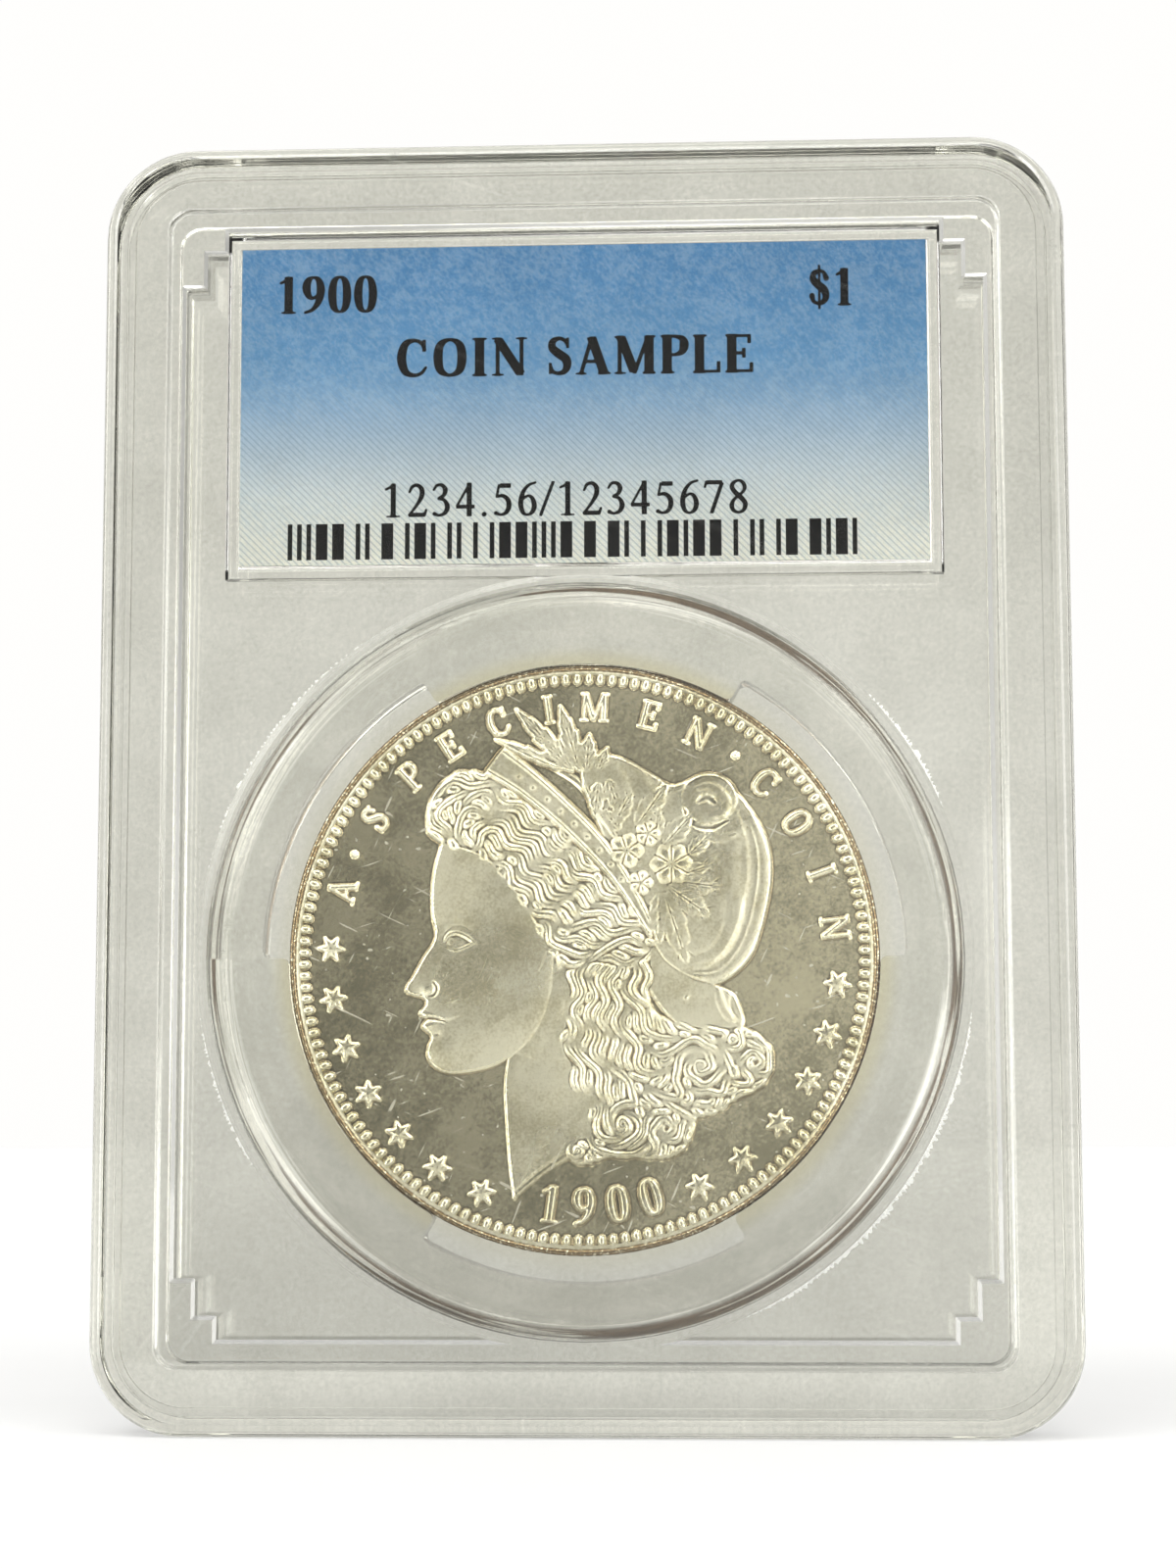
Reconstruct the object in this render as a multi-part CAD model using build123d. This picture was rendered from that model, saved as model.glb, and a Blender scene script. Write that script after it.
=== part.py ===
"""A sealed clear plastic slab that holds one graded coin under a printed label.

X runs across the slab, Z up its height and Y through its thickness. The front looks
along -Y. The origin is the middle of the bottom edge. All lengths are in millimetres.
"""

from build123d import *
import os

os.makedirs("parts", exist_ok=True)

# Outside of the slab
slab_width = 63.2
slab_height = 84.2
slab_thickness = 6.6
corner_radius = 6.0
edge_round = 1.1
slab_middle = slab_height / 2
rim_face = slab_thickness / 2

# A low step runs round the rim just inside its rounded edge
step_inset = 0.85
step_height = 0.08
step_round = 0.05

# The windows lie below the rim, so stacked slabs touch rim to rim
recess_depth = 0.5
slope_top_inset = 4.3
slope_foot_inset = 4.5
slope_top_radius = 1.5
slope_foot_radius = 1.3

# Rounding of the rim's inner edge and of the window's edge, at the top and foot of the slope
slope_top_round = 0.12
slope_foot_round = 0.1

# How near an edge has to lie to a depth or an inset to count as being there
depth_tolerance = 0.001
inset_tolerance = 0.1

# The cavity between the two windows
window_thickness = 1.35
inner_face = rim_face - recess_depth - window_thickness
cavity_side_inset = 5.0
cavity_bottom_inset = 5.8
cavity_top_inset = 5.2
cavity_bevel = 0.3
cavity_width = slab_width - 2 * cavity_side_inset
cavity_height = slab_height - cavity_bottom_inset - cavity_top_inset
cavity_middle = cavity_bottom_inset + cavity_height / 2

# Each corner of the cavity is a stair of two treads
tread = 1.4
top_riser = 1.5
side_riser = 2.35

# The weld: a tongue all round the front shell, in a groove all round the rear shell
tongue_inset = 1.2
tongue_width = 0.5
tongue_depth = 0.5
groove_clearance = 0.05
groove_extra_depth = 0.1
parting_gap = 0.04
parting_face = parting_gap / 2

# The coin and its rim
coin_radius = 19.05
coin_thickness = 2.4
coin_middle = 30.4
coin_rim_width = 0.75
coin_field_depth = 0.3
coin_edge_round = 0.15

# The ring that grips the coin with three wide pads, and the round well it lies in
ring_radius = 24.4
ring_gap = 0.03
ring_face = inner_face - ring_gap
ring_outer_round = 1.25
pad_clearance = 0.02
relief_radius = 20.8
relief_corner_round = 0.45
pad_count = 3
pad_angle = 360 / pad_count / 2
well_clearance = 0.05
well_wall = 0.6

# The printed card, the ridge in front of it and the pedestal behind it
card_width = 45.2
card_height = 21.3
card_thickness = 0.3
card_middle = 66.8
card_gap = 0.03
card_front = -inner_face + card_gap
card_back = card_front + card_thickness
ridge_width = 0.9
ridge_height = 1.1
ridge_round = 0.3
pedestal_inset = 0.4
pedestal_wall = 1.2

# The foil patch on the back of the card
seal_width = 20.0
seal_height = 12.0
seal_thickness = 0.08
seal_corner_radius = 1.0


def between(outline, start, end):
    """An outline drawn on the slab's face, made solid from y = start to y = end."""
    return extrude(face_plane(start) * outline, start - end)


def face_plane(depth):
    """The plane y = depth, with X across and Z up."""
    return Plane.XZ.offset(-depth)


def inset_outline(inset, radius):
    """The slab's outline, drawn in by inset, with its own corner radius."""
    flat = RectangleRounded(slab_width - 2 * inset, slab_height - 2 * inset, radius)
    return Pos(0, slab_middle) * flat


def cavity_outline():
    """The cavity's rectangle with a two-step stair cut out of each corner."""
    outline = Rectangle(cavity_width, cavity_height)
    for side in (-1, 1):
        for end in (-1, 1):
            corner = Pos(side * cavity_width / 2, end * cavity_height / 2)
            outline -= corner * Rectangle(4 * tread, 2 * top_riser)
            outline -= corner * Rectangle(2 * tread, 2 * (top_riser + side_riser))
    return Pos(0, cavity_middle) * outline


def card_outline(grow):
    """The card's rectangle, larger all round by grow."""
    return Pos(0, card_middle) * Rectangle(card_width + 2 * grow, card_height + 2 * grow)


def round_outline(radius):
    """A circle about the coin's centre."""
    return Pos(0, coin_middle) * Circle(radius)


def window_recess(facing):
    """The space outside one window: wide at the rim, and sloping in to the window's edge."""
    rim_y = facing * rim_face
    foot_y = facing * (rim_face - recess_depth)
    top = face_plane(rim_y) * inset_outline(slope_top_inset, slope_top_radius)
    foot = face_plane(foot_y) * inset_outline(slope_foot_inset, slope_foot_radius)
    return loft([top, foot])


def edges_at(shape, depth, inset):
    """The edges of a shape that lie at y = depth and at least that far in from the slab's side."""
    limit = slab_width / 2 - inset + inset_tolerance
    flat = shape.edges().filter_by_position(Axis.Y, depth - depth_tolerance, depth + depth_tolerance)
    return [edge for edge in flat if abs(edge.center().X) < limit]


def blank_shell(facing):
    """Half of the slab with its edge, step, window recess and cavity. facing is -1 or 1."""
    face = facing * rim_face
    window_face = facing * (rim_face - recess_depth)
    outer_edge = 0 if facing < 0 else -1
    shell = between(inset_outline(0, corner_radius), facing * parting_face, face - facing * step_height)
    shell = fillet(shell.edges().group_by(Axis.Y)[outer_edge], edge_round)
    land = between(inset_outline(step_inset, corner_radius - step_inset), facing * parting_face, face)
    shell += fillet(land.edges().group_by(Axis.Y)[outer_edge], step_round)
    shell -= window_recess(facing)
    shell = fillet(edges_at(shell, face, slope_top_inset), slope_top_round)
    shell = fillet(edges_at(shell, window_face, slope_foot_inset), slope_foot_round)
    cavity = between(cavity_outline(), 0, facing * inner_face)
    return shell - chamfer(cavity.edges().group_by(Axis.Y)[outer_edge], cavity_bevel)


def well_half(facing):
    """The round wall that locates the ring, from one window to the weld plane."""
    inside = ring_radius + well_clearance
    wall = round_outline(inside + well_wall) - round_outline(inside)
    return between(wall, facing * parting_face, facing * inner_face)


def ring_space(facing):
    """The room for the ring in one shell, which the label ridge may not enter."""
    return between(round_outline(ring_radius + well_clearance), 0, facing * inner_face)


def tongue_ring(clearance, depth):
    """The weld tongue, or with clearance the groove that takes it, behind the parting gap."""
    outer_inset = tongue_inset - clearance
    inner_inset = tongue_inset + tongue_width + clearance
    outer = inset_outline(outer_inset, corner_radius - outer_inset)
    inner = inset_outline(inner_inset, corner_radius - inner_inset)
    return between(outer - inner, -parting_face, depth)


def make_front_shell():
    """The front half: the clear window with the label ridge, the well and the weld tongue."""
    shell = blank_shell(-1) + well_half(-1)
    outline = card_outline(ridge_width) - card_outline(card_gap)
    ridge = between(outline, -inner_face + ridge_height, -inner_face)
    shell += fillet(ridge.edges().group_by(Axis.Y)[-1], ridge_round)
    shell -= ring_space(-1)
    return shell + tongue_ring(0, tongue_depth)


def make_rear_shell():
    """The rear half: the clear window with the well, the weld groove and the card's pedestal."""
    shell = blank_shell(1) + well_half(1)
    pedestal = card_outline(-pedestal_inset) - card_outline(-pedestal_inset - pedestal_wall)
    shell += between(pedestal, inner_face, card_back + card_gap)
    shell -= ring_space(1)
    return shell - tongue_ring(groove_clearance, tongue_depth + groove_extra_depth)


def make_coin_ring():
    """The clear ring: a rounded outside, and three pads between three relieved arcs inside."""
    ring = between(round_outline(ring_radius), ring_face, -ring_face)
    ring = fillet(ring.edges(), ring_outer_round)
    opening = Circle(coin_radius + pad_clearance)
    reach = 2 * relief_radius
    for pad in range(pad_count):
        start = pad * 2 * pad_angle
        wedge = make_face(
            Polyline(
                (0, 0),
                Vector(reach, 0).rotate(Axis.Z, start),
                Vector(reach, 0).rotate(Axis.Z, start + pad_angle),
                (0, 0),
            )
        )
        opening += wedge & Circle(relief_radius)
    opening = fillet(opening.vertices(), relief_corner_round)
    return ring - between(Pos(0, coin_middle) * opening, ring_face, -ring_face)


def make_coin():
    """A plain coin: a disc whose two fields lie below a raised rim."""
    half = coin_thickness / 2
    coin = between(round_outline(coin_radius), half, -half)
    coin = fillet(coin.edges(), coin_edge_round)
    field = round_outline(coin_radius - coin_rim_width)
    coin -= between(field, -half, -half + coin_field_depth)
    coin -= between(field, half, half - coin_field_depth)
    return coin


def make_label_card():
    """The printed card, just behind the front window."""
    return between(card_outline(0), card_back, card_front)


def make_security_seal():
    """The foil patch on the card's back."""
    patch = Pos(0, card_middle) * RectangleRounded(seal_width, seal_height, seal_corner_radius)
    return between(patch, card_back + seal_thickness, card_back)


nodes = {
    "front_shell": make_front_shell(),
    "rear_shell": make_rear_shell(),
    "coin_ring": make_coin_ring(),
    "coin": make_coin(),
    "label_card": make_label_card(),
    "security_seal": make_security_seal(),
}

for name, shape in nodes.items():
    export_step(shape, f"parts/{name}.step")
    print(name, len(shape.solids()), shape.is_valid, shape.bounding_box())
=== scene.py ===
"""The looks of a sealed coin slab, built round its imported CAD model.

The coin's two faces, the label's print and the reeded edge are worked out in
millimetres and turned into meshes in metres, in the frame of the CAD model.
"""

import math
import random

import bmesh
import bpy
import numpy as np
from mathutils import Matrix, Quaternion, Vector


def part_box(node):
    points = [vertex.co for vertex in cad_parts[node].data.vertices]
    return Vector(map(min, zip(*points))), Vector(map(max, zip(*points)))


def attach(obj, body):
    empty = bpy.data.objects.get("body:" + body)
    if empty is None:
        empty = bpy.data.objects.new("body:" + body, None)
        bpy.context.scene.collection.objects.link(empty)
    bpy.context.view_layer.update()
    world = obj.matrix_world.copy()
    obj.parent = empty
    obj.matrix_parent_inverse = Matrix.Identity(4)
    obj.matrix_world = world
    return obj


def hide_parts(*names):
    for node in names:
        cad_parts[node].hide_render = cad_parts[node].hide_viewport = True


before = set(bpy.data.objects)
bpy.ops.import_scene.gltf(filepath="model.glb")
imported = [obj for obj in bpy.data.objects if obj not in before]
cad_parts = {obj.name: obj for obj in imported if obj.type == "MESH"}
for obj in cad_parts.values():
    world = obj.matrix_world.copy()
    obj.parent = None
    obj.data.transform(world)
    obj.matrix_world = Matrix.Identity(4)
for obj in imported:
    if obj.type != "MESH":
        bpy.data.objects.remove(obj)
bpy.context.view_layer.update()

MM = 0.001
random_source = random.Random(1)


def box_mm(node):
    """A CAD node's lowest and highest corners, in millimetres."""
    low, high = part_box(node)
    return Vector(low) / MM, Vector(high) / MM


coin_low, coin_high = box_mm("coin")
ring_low, ring_high = box_mm("coin_ring")
card_low, card_high = box_mm("label_card")
seal_low, seal_high = box_mm("security_seal")

COIN_RADIUS = (coin_high.x - coin_low.x) / 2
COIN_FACE = coin_high.y
COIN_MIDDLE = (coin_low.z + coin_high.z) / 2
COIN_RIM_HEIGHT = 0.3
COIN_EDGE_ROUND = 0.15
COIN_FIELD = COIN_FACE - COIN_RIM_HEIGHT
RING_RADIUS = (ring_high.x - ring_low.x) / 2
WELL_CLEARANCE = 0.05
WELL_WALL = 0.6
WELL_RADIUS = RING_RADIUS + WELL_CLEARANCE + WELL_WALL
CARD_HEIGHT = card_high.z - card_low.z

# ---------------------------------------------------------------- camera, light and floor

CAMERA_PLACE = (9.85, -190.88, 20.5)
CAMERA_AIM = (-0.05001, 0.99258, 0.11079)
CAMERA_ROLL = -0.1

# The room's dim patch and lamps, by the degrees from straight ahead where each begins and is full
AHEAD = (-0.06, -1.0, 0.17)
UPPER_LEFT = (-0.6, 0.0, 0.8)
DIM_PATCH = (27, 13)
LAMPS = (72, 55)

# The dim patch by a direction's X and Z: the part the coin mirrors grows from the left and ends
# at a top, and the darkest band, which the label mirrors, has sides, a foot and a top
COIN_ACROSS = (-0.14, 0.04)
COIN_TOP = (0.20, 0.15)
BAND_MIDDLE = -0.05
BAND_SIDE = (0.15, 0.22)
BAND_FOOT = (0.15, 0.20)
BAND_TOP = (0.30, 0.36)

# How bright the room's parts are, where plain white is 1
LAMP_GLOW = (0.6, 4.9)
BAND_GLOW = 0.08
COIN_GLOW = (0.18, 0.46)
OUTER_GLOW = 0.92
ROOM_COLOUR = (1.0, 0.995, 0.98)

FLOOR_HALF = 0.6
FLOOR_FRONT = 0.06
FLOOR_BACK = 1.5
FLOOR_COLOURS = ((0.49, 0.49, 0.487), (0.51, 0.51, 0.507))
FLOOR_LIGHT = (1.0, 1.0, 0.99)
FLOOR_GLOW = 0.375

# Painted shade in the plastic's colour: darker low down, above the bottom rim and between the side rims
FOOT_SHADE = 0.2
FOOT_LEVEL = 8.0
BOTTOM_RIM = (4.3, 4.7)
SIDE_RIM = (27.4, 27.0)


def add_camera():
    """A close camera just right of the middle, looking slightly up at the slab."""
    data = bpy.data.cameras.new("camera")
    data.lens = 67.5
    data.sensor_width = 36.0
    data.clip_start = 0.01
    data.clip_end = 20.0
    camera = bpy.data.objects.new("camera", data)
    bpy.context.scene.collection.objects.link(camera)
    camera.location = Vector(CAMERA_PLACE) * MM
    roll = Quaternion((0, 0, 1), math.radians(CAMERA_ROLL))
    camera.rotation_euler = (Vector(CAMERA_AIM).to_track_quat("-Z", "Y") @ roll).to_euler()
    bpy.context.scene.camera = camera


class Nodes:
    """Short ways to add and join the nodes of one node tree."""

    def __init__(self, tree):
        self.tree = tree
        tree.nodes.clear()

    def add(self, kind, inputs=None, **settings):
        """A node with its settings, and with values or other nodes' outputs on its inputs."""
        node = self.tree.nodes.new(kind)
        for name, value in settings.items():
            setattr(node, name, value)
        for name, value in (inputs or {}).items():
            socket = node.inputs[name]
            if isinstance(value, bpy.types.NodeSocket):
                self.tree.links.new(value, socket)
            else:
                socket.default_value = (*value, 1) if socket.type == "RGBA" else value
        return node

    def math(self, operation, a, b=0.0):
        return self.add("ShaderNodeMath", {0: a, 1: b}, operation=operation).outputs[0]

    def plus(self, a, b):
        return self.math("ADD", a, b)

    def minus(self, a, b):
        return self.math("SUBTRACT", a, b)

    def times(self, a, b):
        return self.math("MULTIPLY", a, b)

    def most(self, a, b):
        return self.math("MAXIMUM", a, b)

    def span(self, value, low, high, start=0.0, end=1.0):
        """value taken from the range low to high to the range start to end, smoothly."""
        inputs = {"Value": value, "From Min": low, "From Max": high, "To Min": start, "To Max": end}
        return self.add("ShaderNodeMapRange", inputs, interpolation_type="SMOOTHSTEP").outputs["Result"]

    def blend(self, share, a, b):
        """The number a where share is 0 and b where it is 1."""
        return self.add("ShaderNodeMix", {0: share, 2: a, 3: b}, data_type="FLOAT").outputs[0]

    def mix(self, share, a, b):
        """Colour a where share is 0 and b where it is 1."""
        return self.add("ShaderNodeMix", {0: share, 6: a, 7: b}, data_type="RGBA").outputs[2]

    def noise(self, place, scale, detail=2.0, rough=0.5, long=1.0, turn=0.0):
        """Noise of about 1 / scale metres, long times longer along X once that is turned about Y."""
        inputs = {"Vector": place, "Scale": (long, 1, 1), "Rotation": (0, math.radians(turn), 0)}
        mapped = self.add("ShaderNodeMapping", inputs, vector_type="TEXTURE")
        inputs = {"Vector": mapped.outputs[0], "Scale": scale, "Detail": detail, "Roughness": rough}
        return self.add("ShaderNodeTexNoise", inputs).outputs["Fac"]

    def place(self):
        """The point's place in the frame, in metres."""
        return self.add("ShaderNodeTexCoord").outputs["Object"]

    def axes(self, place):
        return self.add("ShaderNodeSeparateXYZ", {0: place}).outputs

    def about(self, across, up):
        """A distance from a middle in metres, and the direction round it in radians."""
        squares = self.plus(self.math("POWER", across, 2.0), self.math("POWER", up, 2.0))
        return self.math("SQRT", squares), self.math("ARCTAN2", up, across)

    def about_coin(self, place):
        """A point's distance from the coin's axis, and its direction round it."""
        axes = self.axes(place)
        return self.about(axes["X"], self.minus(axes["Z"], COIN_MIDDLE * MM))

    def bumps(self, height, strength, distance):
        """A normal that follows a height, at most that distance in metres."""
        inputs = {"Height": height, "Strength": strength, "Distance": distance}
        return self.add("ShaderNodeBump", inputs).outputs[0]

    def foot_shade(self, place):
        """How much painted shade darkens the plastic's colour at a point."""
        axes = self.axes(place)
        low = self.span(axes["Z"], COIN_MIDDLE * MM, FOOT_LEVEL * MM)
        above_rim = self.span(axes["Z"], *np.array(BOTTOM_RIM) * MM)
        between_rims = self.span(self.math("ABSOLUTE", axes["X"]), *np.array(SIDE_RIM) * MM)
        return self.times(self.times(low, above_rim), self.times(between_rims, FOOT_SHADE))

    def towards(self, way, aim):
        """The cosine of the angle between a direction and an aim."""
        inputs = {0: way, 1: Vector(aim).normalized()}
        return self.add("ShaderNodeVectorMath", inputs, operation="DOT_PRODUCT").outputs["Value"]

    def cone(self, cosine, wide, narrow):
        """1 within narrow degrees of an aim, and 0 beyond wide degrees."""
        return self.span(cosine, math.cos(math.radians(wide)), math.cos(math.radians(narrow)))


def dim_glow(nodes, axes):
    """The dim patch's light: grey where the coin mirrors it, near black in the band, white beyond."""
    coin_part = nodes.times(nodes.span(axes["X"], *COIN_ACROSS, *COIN_GLOW), nodes.span(axes["Z"], *COIN_TOP))
    off_side = nodes.span(nodes.math("ABSOLUTE", nodes.plus(axes["X"], -BAND_MIDDLE)), *BAND_SIDE)
    beside = nodes.times(off_side, nodes.span(axes["Z"], *BAND_FOOT))
    beyond = nodes.most(beside, nodes.span(axes["Z"], *BAND_TOP))
    return nodes.plus(nodes.times(beyond, OUTER_GLOW), nodes.plus(coin_part, BAND_GLOW))


def side_shade(nodes, way, ahead):
    """How dark the room is beside the slab, most at the upper left, in patches."""
    beside = nodes.times(nodes.span(ahead, -0.84, -0.70), nodes.span(ahead, 0.40, 0.15))
    side = nodes.span(nodes.towards(way, UPPER_LEFT), -0.2, 0.7, 0.30, 0.50)
    patches = nodes.span(nodes.noise(way, 3.0, detail=1.0), 0.40, 0.58, 0.35, 1.0)
    return nodes.times(beside, nodes.times(side, patches))


def add_world():
    """A white room: a dim patch straight ahead, lamps in a ring about it, and darker sides.

    The coin's fields and the label mirror the dim patch, and the darker sides draw the plastic's
    edges. The camera sees plain white behind the slab.
    """
    world = bpy.data.worlds.new("studio")
    bpy.context.scene.world = world
    world.use_nodes = True
    nodes = Nodes(world.node_tree)
    way = nodes.add("ShaderNodeTexCoord").outputs["Generated"]
    ahead = nodes.towards(way, AHEAD)
    lamps = nodes.span(nodes.noise(way, 4.5, detail=0.0), 0.42, 0.58, *LAMP_GLOW)
    front = nodes.blend(nodes.cone(ahead, *LAMPS), 1.0, lamps)
    lit = nodes.times(front, nodes.minus(1.0, side_shade(nodes, way, ahead)))
    strength = nodes.blend(nodes.cone(ahead, *DIM_PATCH), lit, dim_glow(nodes, nodes.axes(way)))
    seen = nodes.add("ShaderNodeLightPath").outputs["Is Camera Ray"]
    inputs = {"Color": ROOM_COLOUR, "Strength": nodes.blend(seen, strength, 1.0)}
    background = nodes.add("ShaderNodeBackground", inputs)
    nodes.add("ShaderNodeOutputWorld", {"Surface": background.outputs[0]})
    bpy.context.scene.view_settings.view_transform = "Standard"


def add_floor():
    """A pale table lit from below, as bright as the room where it ends."""
    mesh = bpy.data.meshes.new("floor")
    corners = [(-FLOOR_HALF, -FLOOR_FRONT, 0), (FLOOR_HALF, -FLOOR_FRONT, 0),
               (FLOOR_HALF, FLOOR_BACK, 0), (-FLOOR_HALF, FLOOR_BACK, 0)]
    mesh.from_pydata(corners, [], [(0, 1, 2, 3)])
    floor = bpy.data.objects.new("floor", mesh)
    bpy.context.scene.collection.objects.link(floor)
    material, nodes = new_material("floor")
    colour = nodes.mix(nodes.noise(nodes.place(), 60.0, detail=3.0), *FLOOR_COLOURS)
    finish(nodes, {"Base Color": colour, "Roughness": 0.9, "Specular IOR Level": 0.0,
                   "Emission Color": FLOOR_LIGHT, "Emission Strength": FLOOR_GLOW})
    floor.data.materials.append(material)


# ---------------------------------------------------------------- materials

# Colours are linear red, green and blue. Noise scales are in cycles to the metre.
FRONT_TINT = (0.92, 0.918, 0.875)
REAR_TINT = (0.76, 0.758, 0.71)
COIN_REFLECTION_SHARE = (0.98, 0.96, 0.88)
FOOT_SHADE_TINT = (0.5, 0.5, 0.5)
RING_CLOUDS = ((0.91, 0.91, 0.88), (0.99, 0.985, 0.96))
RING_COIN_REFLECTION = (0.95, 0.925, 0.80)
RING_FOOT_SHADE_TINT = (0.5, 0.48, 0.42)
RING_PAINTED_SHADE = (0.06, 0.035, 0.02)
RING_PAINTED_HIGHLIGHT = (1, 1, 0.97)
FROST = ((0.88, 0.89, 0.90), (1.0, 1.0, 1.0))
SILVER_FIELD = ((0.56, 0.53, 0.39), (1.0, 0.95, 0.75))
SILVER_DEVICE = ((0.70, 0.66, 0.49), (1.0, 0.98, 0.86))
SILVER_HAIRLINE = (1.0, 0.98, 0.90)
GROOVE_TONING_AND_SHADE = (0.21, 0.165, 0.10)
RIM_PAINTED_SHADE = (0.30, 0.22, 0.13)
CARD_WHITE = (0.97, 0.97, 0.90)
CARD_BLUE = (0.14, 0.35, 0.65)
CARD_DEEP_BLUE = (0.04, 0.19, 0.47)
CARD_FIBRE = (0.55, 0.70, 0.85)
CARD_LINE = (0.20, 0.30, 0.42)
CARD_BACK = (0.80, 0.81, 0.80)
INK_COLOURS = ((0.001, 0.001, 0.002), (0.006, 0.005, 0.006))
FOIL_LINE = (0.82, 0.83, 0.84)

PLASTIC_IOR = 1.55
CARD_LINE_PITCH = 0.45
FOIL_PETALS = 12.0
FOIL_PETAL_DEPTH = 0.6
FOIL_LINE_SCALE = 6000.0


def new_material(name):
    material = bpy.data.materials.new(name)
    material.use_nodes = True
    return material, Nodes(material.node_tree)


def finish(nodes, inputs):
    """Ends a material's nodes in one Principled shader."""
    shader = nodes.add("ShaderNodeBsdfPrincipled", inputs)
    nodes.add("ShaderNodeOutputMaterial", {"Surface": shader.outputs[0]})


def clear_plastic(name, tint, cloudy):
    """Clear polystyrene with moulding waves, a fine grain, hairline scuffs and dust-like specks, a painted
    warm reflection of the coin over and round it, and painted shade low down.
    """
    material, nodes = new_material(name)
    place = nodes.place()
    lines = nodes.noise(place, 1500.0, detail=1.0, long=40.0, turn=-55.0)
    cross = nodes.noise(place, 1300.0, detail=1.0, long=30.0, turn=20.0)
    scuffs = nodes.most(nodes.span(lines, 0.70, 0.76), nodes.span(cross, 0.71, 0.77))
    specks = nodes.span(nodes.noise(place, 1400.0, detail=0.0), 0.80, 0.86)
    worn = nodes.most(scuffs, specks)
    grain = nodes.span(nodes.noise(place, 3200.0, detail=3.0, rough=0.7), 0.35, 0.65)
    clouds = nodes.span(nodes.noise(place, 160.0, detail=4.0, rough=0.6), 0.35, 0.65)
    haze = nodes.plus(nodes.times(grain, 0.6), nodes.times(clouds, 0.4))
    pale = [min(1.0, part + cloudy) for part in tint]
    deep = [part - cloudy for part in tint]
    reach, _ = nodes.about_coin(place)
    # Painted reflection: the plastic turns warmer towards and over the coin, as if it mirrored the silver
    coin_reflection = nodes.span(reach, (COIN_RADIUS + 1.6) * MM, (COIN_RADIUS - 0.3) * MM, 0.0, 0.5)
    colour = nodes.mix(coin_reflection, nodes.mix(haze, deep, pale), np.multiply(tint, COIN_REFLECTION_SHARE))
    # Painted shade: the plastic's colour turns darker low down in the window
    colour = nodes.mix(nodes.foot_shade(place), colour, np.multiply(tint, FOOT_SHADE_TINT))
    waves = nodes.noise(place, 45.0, detail=1.0)
    height = nodes.plus(waves, nodes.times(grain, 0.006))
    finish(nodes, {"Base Color": colour, "Roughness": nodes.span(worn, 0.0, 1.0, 0.03, 0.16),
                   "IOR": PLASTIC_IOR, "Transmission Weight": 0.992,
                   "Normal": nodes.bumps(height, 0.05, 0.0004)})
    return material


def ring_plastic():
    """The ring's clear plastic, with a painted warm reflection by the coin, and painted shade and painted
    highlights in streaks drawn out along its moulded edge.
    """
    material, nodes = new_material("ring_plastic")
    place = nodes.place()
    reach, turn = nodes.about_coin(place)

    def streaks(round_scale, reach_scale):
        inputs = {0: nodes.times(turn, round_scale), 1: nodes.times(reach, reach_scale)}
        drawn = nodes.add("ShaderNodeCombineXYZ", inputs).outputs[0]
        inputs = {"Vector": drawn, "Scale": 1.0, "Detail": 3.0, "Roughness": 0.6}
        return nodes.add("ShaderNodeTexNoise", inputs).outputs["Fac"]

    def inside_rim(start, end):
        """0 more than start inside the ring's outer edge, and 1 less than end inside it."""
        return nodes.span(reach, (RING_RADIUS - start) * MM, (RING_RADIUS - end) * MM)

    clouds = nodes.plus(nodes.noise(place, 160.0, detail=4.0, rough=0.6), streaks(0.8, 900.0))
    clear = nodes.mix(nodes.span(clouds, 0.8, 1.2), *RING_CLOUDS)
    # Painted reflection: the ring turns warmer by the coin
    coin_reflection = nodes.span(reach, (COIN_RADIUS + 1.6) * MM, (COIN_RADIUS + 0.2) * MM)
    with_coin_reflection = nodes.mix(coin_reflection, clear, RING_COIN_REFLECTION)
    # Painted shade: dark streaks in the outer part of the ring, more on one side
    edge = inside_rim(1.1, 0.6)
    lean = nodes.times(nodes.math("COSINE", nodes.plus(turn, 0.5)), 0.06)
    streak = nodes.plus(streaks(1.3, 2600.0), lean)
    dark = nodes.times(nodes.span(streak, 0.44, 0.52), edge)
    # Painted shade twice: darker low down, and the dark streaks by the outer edge
    colour = nodes.mix(dark, nodes.mix(nodes.foot_shade(place), with_coin_reflection, RING_FOOT_SHADE_TINT), RING_PAINTED_SHADE)
    # Painted highlights: bright streaks that glow just inside the dark ones
    highlight_band = nodes.times(inside_rim(1.6, 1.1), nodes.minus(1.0, edge))
    bright = nodes.times(nodes.span(streaks(0.9, 3400.0), 0.52, 0.60), highlight_band)
    finish(nodes, {"Base Color": colour, "Roughness": 0.03, "IOR": PLASTIC_IOR, "Transmission Weight": 0.995,
                   "Emission Color": RING_PAINTED_HIGHLIGHT, "Emission Strength": nodes.times(bright, 0.3)})
    return material


def frosted_plastic():
    """Plastic that the weld has turned white. Its emission is a painted glow, standing in for light caught
    inside it.
    """
    material, nodes = new_material("frosted_plastic")
    grain = nodes.noise(nodes.place(), 4000.0, detail=2.0)
    colour = nodes.mix(nodes.span(grain, 0.3, 0.7), *FROST)
    finish(nodes, {"Base Color": colour, "Roughness": 0.6,
                   "Emission Color": colour, "Emission Strength": 0.55})
    return material


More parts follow.
